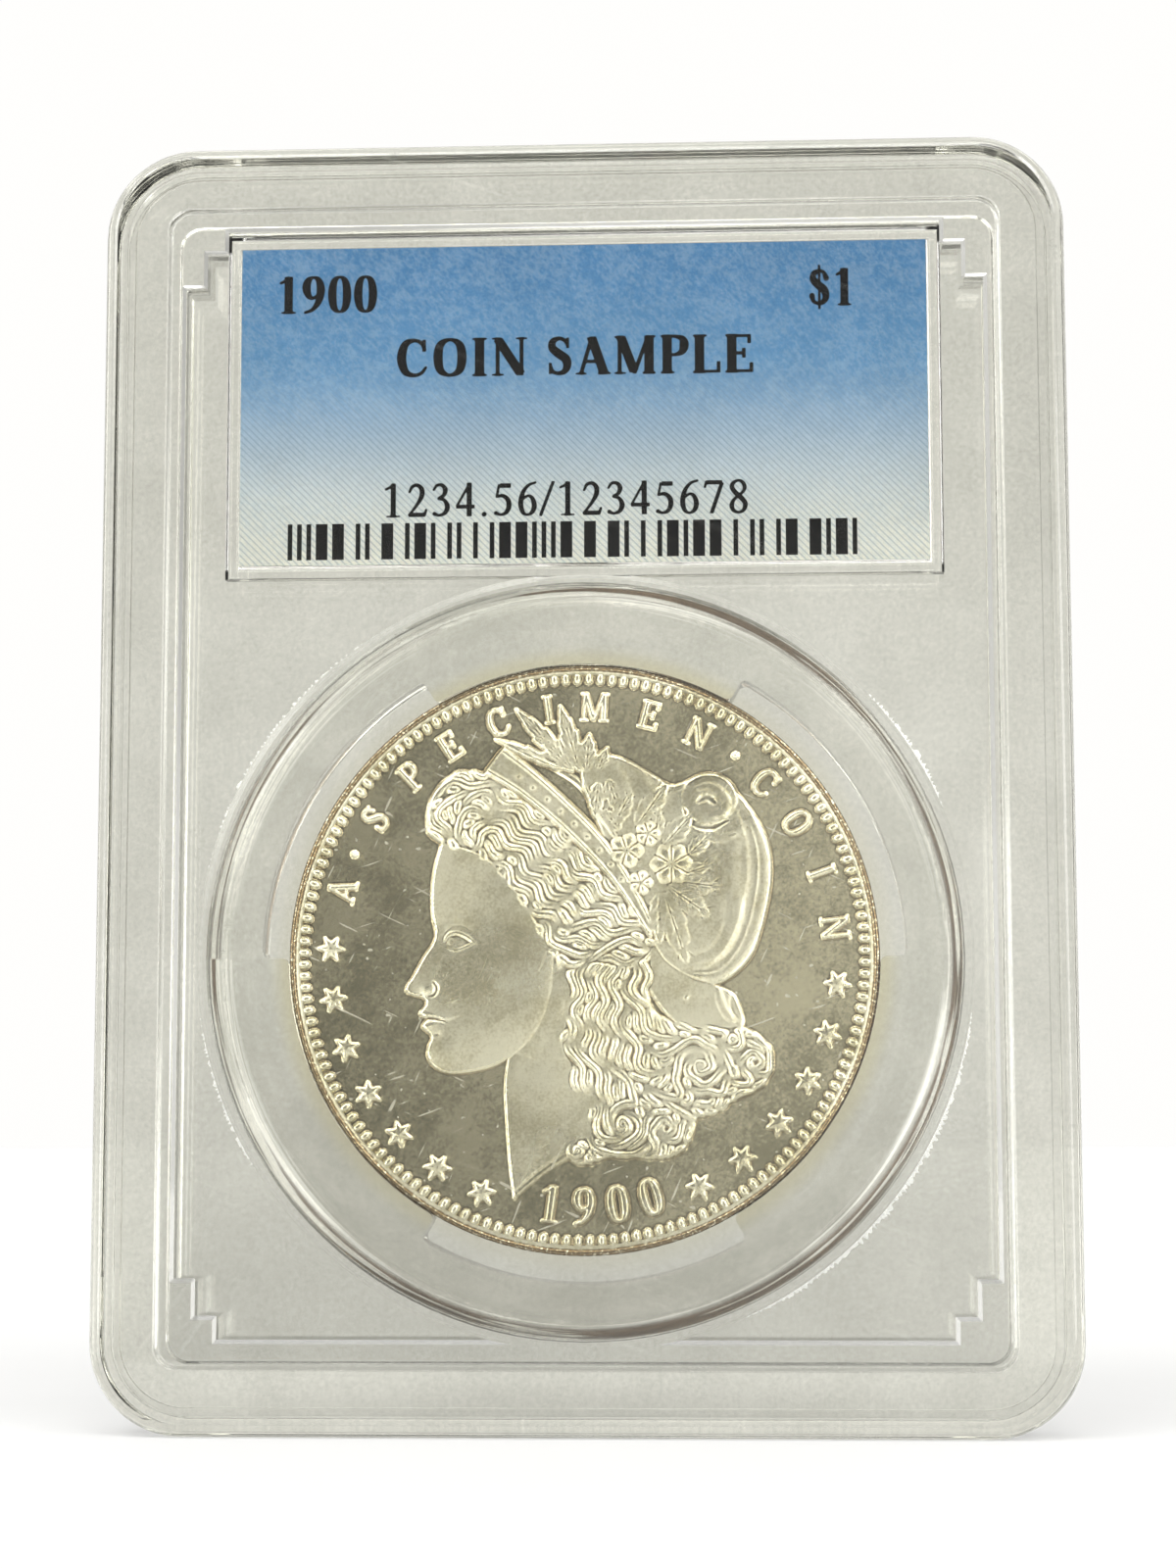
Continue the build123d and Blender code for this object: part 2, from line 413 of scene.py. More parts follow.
def struck_silver():
    """Old silver: mirror fields with a mottled warm tone and hairlines, and a frosted device.

    The mesh's hollow attribute runs from 1 in a groove, where the silver is darkened, part toning and
    part painted shade, to -1 on a worn crest.
    """
    material, nodes = new_material("coin_silver")
    place = nodes.place()
    depth = nodes.math("ABSOLUTE", nodes.axes(place)["Y"])
    raised = nodes.span(depth, (COIN_FIELD + 0.02) * MM, (COIN_FIELD + 0.09) * MM)
    reach, _ = nodes.about_coin(place)
    clouds = nodes.noise(place, 260.0, detail=6.0, rough=0.65)
    patches = nodes.noise(place, 90.0, detail=3.0)
    grain = nodes.noise(place, 5000.0, detail=3.0, rough=0.7)
    brushed = nodes.noise(place, 2600.0, detail=2.0, rough=0.6, long=4.0, turn=-50.0)
    mottle = 0.0
    for part, share in ((clouds, 0.36), (patches, 0.26), (grain, 0.30), (brushed, 0.08)):
        mottle = nodes.plus(nodes.times(part, share), mottle)
    tone = nodes.span(mottle, 0.42, 0.57)
    hairs = nodes.span(nodes.noise(place, 2600.0, detail=0.0), 0.80, 0.85)
    for turn in (-65.0, 25.0, -20.0):
        lines = nodes.noise(place, 3600.0, detail=0.0, long=9.0, turn=turn)
        hairs = nodes.most(nodes.span(lines, 0.77, 0.84), hairs)
    hairs = nodes.times(hairs, nodes.span(raised, 0.0, 1.0, 1.0, 0.5))
    field = nodes.mix(hairs, nodes.mix(tone, *SILVER_FIELD), SILVER_HAIRLINE)
    struck = nodes.mix(raised, field, nodes.mix(tone, *SILVER_DEVICE))
    hollow = nodes.add("ShaderNodeAttribute", attribute_name="hollow").outputs["Fac"]
    # Toning and painted shade: the silver turns darker in the grooves
    toned = nodes.mix(nodes.span(hollow, 0.1, 1.0, 0.0, 0.88), struck, GROOVE_TONING_AND_SHADE)
    # Painted shade: the outer rim turns dark brown, broken by bright specks
    rim = nodes.span(reach, (COIN_RADIUS - 0.48) * MM, (COIN_RADIUS - 0.36) * MM)
    rim_shade = nodes.times(rim, nodes.span(grain, 0.66, 0.50))
    lustre = nodes.span(patches, 0.40, 0.60, 0.25, 0.36)
    carved = nodes.span(nodes.math("ABSOLUTE", hollow), 0.15, 0.7, 0.0, 0.15)
    worn = nodes.minus(nodes.times(hairs, 0.22), nodes.times(carved, raised))
    frost = nodes.times(nodes.noise(place, 9000.0, detail=2.0), raised)
    finish(nodes, {"Base Color": nodes.mix(rim_shade, toned, RIM_PAINTED_SHADE), "Metallic": 1.0,
                   "Roughness": nodes.plus(nodes.blend(raised, 0.12, lustre), worn),
                   "Normal": nodes.bumps(frost, 0.25, 0.00002)})
    return material


def printed_card():
    """Card printed in blue that fades to white, with pale fibres and fine slanting lines."""
    material, nodes = new_material("printed_card")
    place = nodes.place()
    axes = nodes.axes(place)

    def up_card(start, end):
        """0 below start and 1 above end, in heights of the card, or the other way round."""
        return nodes.span(axes["Z"], *(np.array([start, end]) * CARD_HEIGHT + card_low.z) * MM)

    blue = nodes.mix(up_card(-0.05, 0.68), CARD_WHITE, CARD_BLUE)
    blue = nodes.mix(nodes.times(up_card(0.45, 1.0), 0.6), blue, CARD_DEEP_BLUE)
    fibres = nodes.noise(place, 5200.0, detail=3.0, rough=0.7, long=2.0, turn=50.0)
    blotches = nodes.noise(place, 900.0, detail=5.0, rough=0.75)
    both = nodes.plus(nodes.times(fibres, 0.5), nodes.times(blotches, 0.5))
    mottled = nodes.mix(nodes.times(nodes.span(both, 0.42, 0.60), 0.24), blue, CARD_FIBRE)
    slant = nodes.plus(axes["X"], axes["Z"])
    wave = nodes.math("SINE", nodes.times(slant, 2 * math.pi / (CARD_LINE_PITCH * MM)))
    line = nodes.times(nodes.span(wave, 0.3, 0.9), nodes.times(up_card(0.65, 0.40), 0.42))
    behind = nodes.span(axes["Y"], (card_low.y + 0.02) * MM, (card_low.y + 0.05) * MM)
    colour = nodes.mix(behind, nodes.mix(line, mottled, CARD_LINE), CARD_BACK)
    finish(nodes, {"Base Color": colour, "Roughness": 0.6, "Specular IOR Level": 0.15,
                   "Normal": nodes.bumps(fibres, 0.2, 0.00002)})
    return material


def black_ink():
    material, nodes = new_material("black_ink")
    grain = nodes.noise(nodes.place(), 5000.0, detail=3.0)
    colour = nodes.mix(nodes.span(grain, 0.35, 0.75), *INK_COLOURS)
    finish(nodes, {"Base Color": colour, "Roughness": 0.7, "Specular IOR Level": 0.0})
    return material


def security_foil():
    """Silver foil with rings of fine lines, and a painted rainbow sheen in place of the colours the lines
    would split the light into.
    """
    material, nodes = new_material("security_foil")
    axes = nodes.axes(nodes.place())
    middle = (seal_low + seal_high) / 2
    across = nodes.minus(axes["X"], middle.x * MM)
    reach, turn = nodes.about(across, nodes.minus(axes["Z"], middle.z * MM))
    petals = nodes.times(nodes.math("SINE", nodes.times(turn, FOIL_PETALS)), FOIL_PETAL_DEPTH * MM)
    rosette = nodes.math("SINE", nodes.times(nodes.plus(reach, petals), FOIL_LINE_SCALE))
    # Painted sheen: rainbow colours by distance from the middle and across
    painted_sheen_hue = nodes.math("FRACT", nodes.plus(nodes.times(reach, 110.0), nodes.times(axes["X"], 60.0)))
    painted_sheen = nodes.add("ShaderNodeCombineColor", {0: painted_sheen_hue, 1: 0.28, 2: 0.86}, mode="HSV").outputs[0]
    colour = nodes.mix(nodes.span(rosette, -0.2, 0.4), painted_sheen, FOIL_LINE)
    finish(nodes, {"Base Color": colour, "Roughness": nodes.span(rosette, -0.5, 0.5, 0.32, 0.18),
                   "Metallic": 0.95, "Normal": nodes.bumps(rosette, 0.3, 0.00003)})
    return material


# ---------------------------------------------------------------- making pieces


def add_piece(name, vertices, faces, material, smooth=True):
    """A mesh piece from points in millimetres. It rides on the slab."""
    mesh = bpy.data.meshes.new(name)
    mesh.from_pydata(np.asarray(vertices) * MM, [], faces)
    mesh.materials.append(material)
    mesh.polygons.foreach_set("use_smooth", np.full(len(mesh.polygons), smooth))
    mesh.update()
    piece = bpy.data.objects.new(name, mesh)
    bpy.context.scene.collection.objects.link(piece)
    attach(piece, "root")
    return piece


def grid_faces(rows, columns, closed=False):
    """Quads over a grid of points stored row by row. closed joins each row's end to its start."""
    index = np.arange(rows * columns).reshape(rows, columns)
    if closed:
        index = np.concatenate([index, index[:, :1]], axis=1)
    quads = np.stack([index[:-1, :-1], index[:-1, 1:], index[1:, 1:], index[1:, :-1]], axis=-1)
    return quads.reshape(-1, 4)


# ---------------------------------------------------------------- curves and outlines


def smooth_step(t):
    """0 below 0, 1 above 1, and an S curve between."""
    t = np.clip(t, 0.0, 1.0)
    return t * t * (3.0 - 2.0 * t)


def smooth_curve(points, closed=False, steps=8):
    """A Catmull-Rom curve through a few points."""
    points = np.asarray(points, float)
    if closed:
        chain = np.concatenate([points[-1:], points, points[:2]])
    else:
        chain = np.concatenate([2 * points[:1] - points[1:2], points, 2 * points[-1:] - points[-2:-1]])
    t = np.linspace(0.0, 1.0, steps, endpoint=False)[:, None]
    runs = []
    for a, b, c, d in zip(chain, chain[1:], chain[2:], chain[3:]):
        bend = (2 * a - 5 * b + 4 * c - d) * t**2 + (3 * b - a - 3 * c + d) * t**3
        runs.append(0.5 * (2 * b + (c - a) * t + bend))
    if not closed:
        runs.append(points[-1:])
    return np.concatenate(runs)


def along(curve, count):
    """count points evenly spaced along a polyline."""
    runs = np.hypot(*np.diff(curve, axis=0).T)
    place = np.concatenate([[0.0], np.cumsum(runs)])
    want = np.linspace(0.0, place[-1], count)
    return np.stack([np.interp(want, place, curve[:, 0]), np.interp(want, place, curve[:, 1])], 1)


def polar(radius, degrees):
    """The point at that distance and direction from the middle."""
    return radius * math.cos(math.radians(degrees)), radius * math.sin(math.radians(degrees))


def inside_depth(outline, x, y):
    """How far each point is inside a closed outline, negative outside."""
    nearest = np.full(x.shape, np.inf)
    inside = np.zeros(x.shape, bool)
    for (ax, ay), (bx, by) in zip(outline, np.roll(outline, -1, axis=0)):
        ex, ey = bx - ax, by - ay
        length = ex * ex + ey * ey
        if length == 0.0:
            continue
        t = np.clip(((x - ax) * ex + (y - ay) * ey) / length, 0.0, 1.0)
        nearest = np.minimum(nearest, (x - ax - t * ex) ** 2 + (y - ay - t * ey) ** 2)
        if by != ay:
            inside ^= ((ay > y) != (by > y)) & (x < ax + ex * (y - ay) / ey)
    nearest = np.sqrt(nearest)
    return np.where(inside, nearest, -nearest)


# ---------------------------------------------------------------- lettering

# Each letter is its width, its straight strokes (x, y, x, y, weight), its curved strokes (points
# of x, y, weight) and its serifs (x, x, y), all in hundredths of the cap height. Weight runs from
# 0, a hairline, to 100, a full stem.
LETTERS = {
    "A": (84, ((13, 0, 40, 100, 15), (38, 100, 70, 0, 100), (24, 34, 58, 34, 10)), (), ((0, 27, 0),
        (54, 86, 0))),
    "C": (80, ((68, 66, 68, 98, 10),), (((69, 72, 10), (62, 88, 20), (44, 96, 20), (22, 86, 70),
        (13, 50, 100), (22, 14, 70), (44, 4, 20), (62, 10, 10), (72, 24, 0)),), ()),
    "E": (72, ((18, 0, 18, 100, 100), (10, 97, 62, 97, 10), (20, 51, 48, 51, 10), (10, 3, 64, 3, 10),
        (60, 76, 60, 100, 10), (47, 38, 47, 64, 10), (65, 0, 65, 26, 10)), (), ((2, 30, 0), (2, 30, 100))),
    "I": (42, ((21, 0, 21, 100, 100),), (), ((3, 39, 0), (3, 39, 100))),
    "L": (70, ((18, 0, 18, 100, 100), (10, 3, 62, 3, 10), (64, 0, 64, 30, 10)), (), ((2, 30, 0),
        (2, 36, 100))),
    "M": (104, ((15, 0, 15, 100, 15), (17, 100, 50, 6, 100), (50, 0, 84, 100, 15), (86, 0, 86, 100, 100)),
        (), ((2, 30, 0), (70, 102, 0), (2, 22, 100), (80, 102, 100))),
    "N": (86, ((15, 0, 15, 100, 15), (15, 97, 72, 3, 100), (73, 0, 73, 100, 15)), (), ((1, 30, 0),
        (1, 20, 100), (59, 87, 100))),
    "O": (86, (), (((43, 97, 10), (20, 84, 75), (14, 50, 100), (20, 16, 75), (43, 3, 10), (66, 16, 75),
        (72, 50, 100), (66, 84, 75), (43, 97, 10)),), ()),
    "P": (70, ((18, 0, 18, 100, 100),), (((10, 97, 10), (36, 97, 10), (55, 90, 60), (59, 74, 100),
        (54, 57, 60), (38, 49, 10), (20, 50, 10)),), ((2, 36, 0), (2, 20, 100))),
    "S": (60, ((49, 70, 49, 98, 0), (7, 2, 7, 32, 0)), (((49, 76, 0), (42, 90, 15), (28, 96, 20),
        (13, 88, 60), (12, 71, 80), (27, 56, 100), (44, 42, 100), (48, 24, 80), (41, 9, 50), (27, 4, 20),
        (13, 9, 15), (7, 26, 0)),), ()),
    "0": (62, (), (((31, 97, 0), (16, 85, 70), (11, 50, 100), (16, 15, 70), (31, 3, 0), (46, 15, 70),
        (51, 50, 100), (46, 85, 70), (31, 97, 0)),), ()),
    "1": (62, ((33, 0, 33, 100, 100),), (((12, 83, 0), (24, 89, 10), (32, 97, 10)),), ((13, 53, 0),)),
    "2": (62, ((8, 6, 55, 6, 80),), (((10, 74, 0), (18, 90, 30), (33, 94, 50), (45, 82, 90), (45, 62, 90),
        (34, 40, 40), (20, 20, 10), (9, 6, 0)), ((53, 6, 30), (58, 20, 0))), ()),
    "3": (62, (), (((10, 80, 0), (19, 93, 20), (34, 93, 50), (43, 80, 90), (38, 63, 50), (24, 54, 10),
        (40, 49, 40), (49, 30, 100), (42, 11, 60), (25, 4, 10), (12, 9, 60)),), ()),
    "4": (62, ((42, 0, 42, 100, 100), (4, 29, 58, 29, 50), (6, 30, 42, 96, 0)), (), ()),
    "5": (62, ((22, 90, 54, 90, 80), (20, 94, 13, 58, 0)), (((13, 57, 0), (30, 60, 50), (45, 48, 90),
        (48, 28, 100), (40, 10, 60), (24, 4, 10), (11, 9, 60)),), ()),
    "6": (62, (), (((54, 98, 0), (34, 90, 20), (18, 68, 70), (12, 36, 100), (18, 11, 60), (32, 3, 0),
        (46, 12, 70), (51, 31, 100), (45, 52, 60), (33, 59, 10), (18, 50, 10)),), ()),
    "7": (62, ((9, 92, 56, 92, 70), (55, 92, 24, 0, 50), (10, 96, 5, 76, 0)), (), ()),
    "8": (62, (), (((31, 97, 10), (17, 90, 50), (13, 77, 80), (22, 62, 90), (36, 49, 100), (49, 33, 90),
        (50, 20, 80), (44, 8, 40), (31, 3, 10), (17, 9, 50), (12, 24, 80), (19, 41, 30), (34, 54, 10),
        (46, 66, 30), (49, 79, 60), (43, 92, 40), (31, 97, 10)),), ()),
    "9": (62, (), (((8, 2, 0), (28, 10, 20), (44, 32, 70), (50, 64, 100), (44, 89, 60), (30, 97, 0),
        (16, 88, 70), (11, 69, 100), (17, 48, 60), (29, 41, 10), (44, 50, 10)),), ()),
    "$": (62, ((31, -10, 31, 110, 0),), (((51, 74, 60), (44, 89, 20), (31, 93, 20), (16, 86, 60),
        (14, 70, 80), (28, 56, 100), (45, 42, 100), (50, 25, 80), (43, 11, 50), (30, 6, 20), (15, 11, 20),
        (10, 26, 60)),), ()),
    "/": (36, ((-2, -2, 36, 102, 30),), (), ()),
    ".": (30, (), (((15, 6, 90), (15.1, 6.1, 90)),), ()),
    " ": (34, (), (), ()),
}
SERIF_HEIGHT = 0.045
SERIF_BEND = 0.05


def letter_width(letter):
    """A letter's width in cap heights."""
    return LETTERS[letter][0] / 100


def letter_distance(letter, x, y, stem, hair):
    """How far points lie outside a letter, negative inside it, in cap heights."""
    _, lines, curves, serifs = LETTERS[letter]
    away = np.full(x.shape, np.inf)
    for ax, ay, bx, by, weight in np.array(lines) / 100:
        half = (hair + (stem - hair) * weight) / 2
        length = math.hypot(bx - ax, by - ay)
        ux, uy = (bx - ax) / length, (by - ay) / length
        ahead = (x - ax) * ux + (y - ay) * uy
        across = abs((y - ay) * ux - (x - ax) * uy) - half
        ends = abs(ahead - length / 2) - length / 2
        caps = np.maximum(y - max(1.0, ay, by), min(0.0, ay, by) - y)
        away = np.minimum(away, np.maximum(np.maximum(across, ends), caps))
    for points in curves:
        ring = points[0] == points[-1]
        path = smooth_curve(np.array(points[:-1] if ring else points) / 100, closed=ring, steps=6)
        if ring:
            path = np.concatenate([path, path[:1]])
        for (ax, ay, aw), (bx, by, bw) in zip(path[:-1], path[1:]):
            ex, ey = bx - ax, by - ay
            t = np.clip(((x - ax) * ex + (y - ay) * ey) / (ex * ex + ey * ey), 0, 1)
            half = (hair + (stem - hair) * np.clip(aw + (bw - aw) * t, 0, 1)) / 2
            away = np.minimum(away, np.hypot(x - ax - t * ex, y - ay - t * ey) - half)
    for left, right, level in np.array(serifs) / 100:
        middle = SERIF_HEIGHT / 2 if level < 0.5 else 1 - SERIF_HEIGHT / 2
        over = abs(x - (left + right) / 2) - (right - left) / 2
        slab = np.maximum(over, abs(y - middle) - SERIF_HEIGHT / 2)
        joined = np.clip(0.5 + 0.5 * (away - slab) / SERIF_BEND, 0, 1)
        away = away * (1 - joined) + slab * joined - SERIF_BEND * joined * (1 - joined)
    return away


# ---------------------------------------------------------------- the coin's relief

# The height map's spacing and half width, and how much lower than its surroundings a groove lies
PITCH = 0.05
HALF = math.ceil(COIN_RADIUS)
HOLLOW_BLURS = 14
HOLLOW_DEPTH = 0.022

# The beads of the border: half sizes round and outwards, and how square their outline is
BEADS = 152
BEAD_RISE = 0.20
BEAD_INSET = 0.88
BEAD_SIZE = (0.27, 0.43)
BEAD_POWER = 2.4

LEGEND = "A.SPECIMEN.COIN"
LEGEND_RADIUS = 16.3
LEGEND_HEIGHT = 1.8
STAR_RADIUS = 16.4

# The hair: how its strands are traced, and their spacing and size
HAIR_STEP = 0.06
STRAND_STARTS = 0.2
SHORTEST_STRAND = 0.5
STRAND_GAP = 0.31
STRAND_LENGTH = 6.0
STRAND_WIDTH = 0.25
STRAND_RISE = 0.12

steps = np.arange(-HALF, HALF + PITCH / 2, PITCH)
grid_x, grid_y = np.meshgrid(steps, steps)


def dome(depth, width):
    """A quarter-round rise from 0 at the outline to 1 at width inside it."""
    t = 1.0 - np.clip(depth / width, 0.0, 1.0)
    return np.sqrt(1.0 - t * t)


def blurred(height):
    """A height map with each point averaged a little with its neighbours."""
    height = np.pad(height, 1, mode="edge")
    height = (height[:-2] + 2 * height[1:-1] + height[2:]) / 4
    return (height[:, :-2] + 2 * height[:, 1:-1] + height[:, 2:]) / 4


def window(low_x, high_x, low_y, high_y, margin=0.3):
    """The rows and columns of the height map that cover a rectangle."""

    def span(low, high):
        start = int((low - margin + HALF) / PITCH)
        stop = int((high + margin + HALF) / PITCH) + 2
        return slice(max(start, 0), min(stop, len(steps)))

    return span(low_y, high_y), span(low_x, high_x)


def turned_window(cx, cy, reach, turn):
    """The window about a point, and its points' places along two axes turned by that many degrees."""
    at = window(cx - reach, cx + reach, cy - reach, cy + reach)
    c, s = math.cos(math.radians(turn)), math.sin(math.radians(turn))
    dx, dy = grid_x[at] - cx, grid_y[at] - cy
    return at, dx * c + dy * s, dy * c - dx * s


class Relief:
    """The heights of one face of the coin above its field, in millimetres."""

    def __init__(self):
        self.height = np.zeros_like(grid_x)

    def mass(self, outline, base, top, width):
        """A rounded mass that rises to base at its outline and domes up to top at width inside."""
        low_x, low_y = np.min(outline, axis=0)
        high_x, high_y = np.max(outline, axis=0)
        at = window(low_x, high_x, low_y, high_y)
        depth = inside_depth(outline, grid_x[at], grid_y[at])
        edge = smooth_step((depth + 0.04) / 0.12)
        shape = base + (top - base) * dome(depth, width)
        self.height[at] = self.height[at] * (1 - edge) + shape * edge

    def strand(self, points, width, amount, taper=0.6, sharp=1.0):
        """A ridge along a curve, or a groove if amount is negative, thinner to its ends."""
        length = np.hypot(*np.diff(points, axis=0).T).sum()
        count = max(int(length / PITCH), 2)
        path = along(points, count)
        ends = np.linspace(0, 1, count)
        size = np.minimum(1.0, (np.minimum(ends, 1 - ends) + 0.02) / max(0.5 * taper, 1e-3)) ** 0.6
        low, high = path.min(0), path.max(0)
        at = window(low[0], high[0], low[1], high[1], width + 0.1)
        x, y = grid_x[at], grid_y[at]
        profile = np.zeros(x.shape)
        reach = int(width / PITCH) + 1
        for (px, py), share in zip(path, size):
            row = int(round((py + HALF) / PITCH)) - at[0].start
            column = int(round((px + HALF) / PITCH)) - at[1].start
            near = (slice(max(row - reach, 0), max(row + reach + 1, 0)),
                    slice(max(column - reach, 0), max(column + reach + 1, 0)))
            wide = width * (0.35 + 0.65 * share)
            squares = ((x[near] - px) ** 2 + (y[near] - py) ** 2) / wide**2
            ridge = np.clip(1.0 - squares, 0.0, 1.0) ** sharp * (0.4 + 0.6 * share)
            profile[near] = np.maximum(profile[near], ridge)
        self.height[at] += amount * profile

    def strokes(self, *rows):
        """Ridges and grooves along smooth curves, in rows of points and what else strand takes."""
        for points, *how in rows:
            self.strand(smooth_curve(points), *how)

    def bumps(self, *rows):
        """Swells and hollows, in rows of what bump takes."""
        for row in rows:
            self.bump(*row)

    def bump(self, cx, cy, rx, ry, amount, turn=0.0):
        """A soft oval swell, or a hollow if amount is negative."""
        at, along_x, along_y = turned_window(cx, cy, max(rx, ry), turn)
        u, v = along_x / rx, along_y / ry
        self.height[at] += amount * np.clip(1.0 - u * u - v * v, 0.0, 1.0) ** 2

    def letter(self, letter, cx, cy, turn, height, rise=0.13, stem=0.2, hair=0.09):
        """A raised letter about a point, turned anticlockwise by that many degrees."""
        at, along_x, along_y = turned_window(cx, cy, 0.8 * height, turn)
        u = along_x / height + letter_width(letter) / 2
        v = along_y / height + 0.5
        depth = -height * letter_distance(letter, u, v, stem, hair)
        self.height[at] = np.maximum(self.height[at], rise * smooth_step((depth + 0.05) / 0.13))

    def star(self, cx, cy, turn, size=0.92, rise=0.14):
        """A raised star of six points."""
        at = window(cx - size, cx + size, cy - size, cy + size)
        dx, dy = grid_x[at] - cx, grid_y[at] - cy
        reach = np.hypot(dx, dy)
        sector = math.pi / 3
        angle = np.arctan2(dy, dx) - math.radians(turn) + sector / 2
        angle = abs(np.mod(angle, sector) - sector / 2)
        notch = 0.52 * size
        ex, ey = notch * math.cos(sector / 2) - size, notch * math.sin(sector / 2)
        x, y = reach * np.cos(angle) - size, reach * np.sin(angle)
        depth = (y * ex - x * ey) / math.hypot(ex, ey)
        facets = 0.55 + 0.45 * np.clip(depth / (0.4 * size), 0, 1)
        shape = rise * smooth_step((depth + 0.04) / 0.1) * facets
        self.height[at] = np.maximum(self.height[at], shape)

    def soften(self, limit):
        """Rounds every edge a little, as striking does, and keeps the relief under limit."""
        height = blurred(self.height)
        free, room = 0.75 * limit, 0.25 * limit
        over = np.maximum(height - free, 0.0)
        self.height = np.minimum(height, free) + room * over / (over + room)

    def border(self):
        """The raised rim and the ring of beads inside it."""
        reach = np.hypot(grid_x, grid_y)
        angle = np.arctan2(grid_y, grid_x)
        rim = smooth_step((reach - COIN_RADIUS + 0.46) / 0.14) * COIN_RIM_HEIGHT
        step = 2 * math.pi / BEADS
        across = (np.mod(angle, step) - step / 2) * reach / BEAD_SIZE[0]
        outwards = (reach - COIN_RADIUS + BEAD_INSET) / BEAD_SIZE[1]
        bead = 1.0 - abs(across) ** BEAD_POWER - abs(outwards) ** BEAD_POWER
        self.height = np.maximum(self.height, rim)
        self.height = np.maximum(self.height, BEAD_RISE * np.sqrt(np.clip(bead, 0, 1)))
        inner = COIN_RADIUS - COIN_EDGE_ROUND
        fall = np.clip((reach - inner) / COIN_EDGE_ROUND, 0.0, 1.0)
        self.height -= COIN_EDGE_ROUND * (1 - np.sqrt(1 - fall * fall))

    def hollows(self):
        """How far each point lies below the silver round it, from -1 on a crest to 1 in a groove."""
        around = self.height
        for _ in range(HOLLOW_BLURS):
            around = blurred(around)
        return np.clip((around - self.height) / HOLLOW_DEPTH, -1.0, 1.0)

    def sample(self, x, y):
        """The height, the two slopes and the hollows at points, read between the map's own points."""
        slope_y, slope_x = np.gradient(self.height, PITCH)
        column, row = (x + HALF) / PITCH, (y + HALF) / PITCH
        i, j = row.astype(int), column.astype(int)
        v, u = row - i, column - j
        found = []
        for grid in (self.height, slope_x, slope_y, self.hollows()):
            low = grid[i, j] * (1 - u) + grid[i, j + 1] * u
            high = grid[i + 1, j] * (1 - u) + grid[i + 1, j + 1] * u
            found.append(low * (1 - v) + high * v)
        return found


# ---------------------------------------------------------------- the coin's designs


class Flow:
    """The direction that hair grows in, from combed guide curves and from curls."""

    def __init__(self, guides, curls=(), wave=(0.0, 0.0), swing=0.0, reach=1.0):
        self.places, self.ways = [], []
        for guide in guides:
            path = along(smooth_curve(guide), 24)
            way = np.gradient(path, axis=0)
            self.places.append(path)
            self.ways.append(way / np.linalg.norm(way, axis=1, keepdims=True))
        self.places = np.concatenate(self.places)
        self.ways = np.concatenate(self.ways)
        self.curls, self.wave, self.swing, self.reach = curls, np.array(wave), swing, reach

    def way(self, points):
        """The unit direction at each point."""
        away = ((self.places - points[:, None]) ** 2).sum(2)
        nearest = away.min(1, keepdims=True)
        pull = np.exp(-(away - nearest) / self.reach**2)
        way = pull @ self.ways
        angle = math.radians(self.swing) * np.sin(2 * math.pi * (points @ self.wave))
        c, s = np.cos(angle), np.sin(angle)
        way = np.stack([way[:, 0] * c - way[:, 1] * s, way[:, 0] * s + way[:, 1] * c], 1)
        way /= np.linalg.norm(way, axis=1, keepdims=True)
        for cx, cy, radius, hand in self.curls:
            offset = points - (cx, cy)
            far = np.linalg.norm(offset, axis=1, keepdims=True) + 1e-6
            share = 1.0 / (1.0 + (far / (0.92 * radius)) ** 8)
            around = hand * np.stack([-offset[:, 1], offset[:, 0]], 1) / far
            ripple = 0.30 + 0.35 * np.sin(6.0 * far + 3.0 * np.arctan2(offset[:, 1:], offset[:, :1]))
            way = way * (1 - share) + share * (0.94 * around - ripple * offset / far)
        return way / np.linalg.norm(way, axis=1, keepdims=True)

    def strands(self, starts):
        """A path both ways along the flow from each start: points by strand, step and axis."""
        halves = []
        for sense in (-1, 1):
            points, path = starts, []
            for _ in range(int(STRAND_LENGTH / 2 / HAIR_STEP)):
                points = points + sense * HAIR_STEP * self.way(points)
                path.append(points)
            halves.append(path)
        return np.stack(halves[0][::-1] + [starts] + halves[1], axis=1)


def comb(relief, outline, flow):
    """Fills an outline with strands laid along a flow, evenly spaced and never crossing."""
    low, high = outline.min(0), outline.max(0)
    xs, ys = np.arange(low[0], high[0], STRAND_STARTS), np.arange(low[1], high[1], STRAND_STARTS)
    starts = [(x + random_source.uniform(0, STRAND_STARTS), y + random_source.uniform(0, STRAND_STARTS))
              for x in xs for y in ys]
    random_source.shuffle(starts)
    starts = np.array(starts)
    starts = starts[inside_depth(outline, starts[:, 0], starts[:, 1]) > 0.05]
    paths = flow.strands(starts)
    inside = inside_depth(outline, paths[..., 0], paths[..., 1]) > 0.02
    cells = np.round((paths + HALF) / PITCH).astype(int)
    middle = paths.shape[1] // 2
    laid = np.zeros_like(grid_x)
    taken = np.zeros(grid_x.shape, bool)
    reach = int(STRAND_GAP / PITCH) + 1
    for path, cell, keep in zip(paths, cells, inside):
        free = keep & ~taken[cell[:, 1], cell[:, 0]]
        if not free[middle]:
            continue
        first = middle - int(np.argmin(np.append(free[middle::-1], False))) + 1
        last = middle + int(np.argmin(np.append(free[middle:], False)))
        if last - first < SHORTEST_STRAND / HAIR_STEP:
            continue
        for column, row in cell[first:last]:
            near = (slice(row - reach, row + reach + 1), slice(column - reach, column + reach + 1))
            x, y = steps[near[1]] - steps[column], steps[near[0]] - steps[row]
            taken[near] |= x**2 + y[:, None] ** 2 < STRAND_GAP**2
        level = STRAND_RISE * random_source.uniform(0.6, 1.0)
        lay_strand(laid, path[first:last], STRAND_WIDTH * random_source.uniform(0.85, 1.15), level)
    relief.height += laid


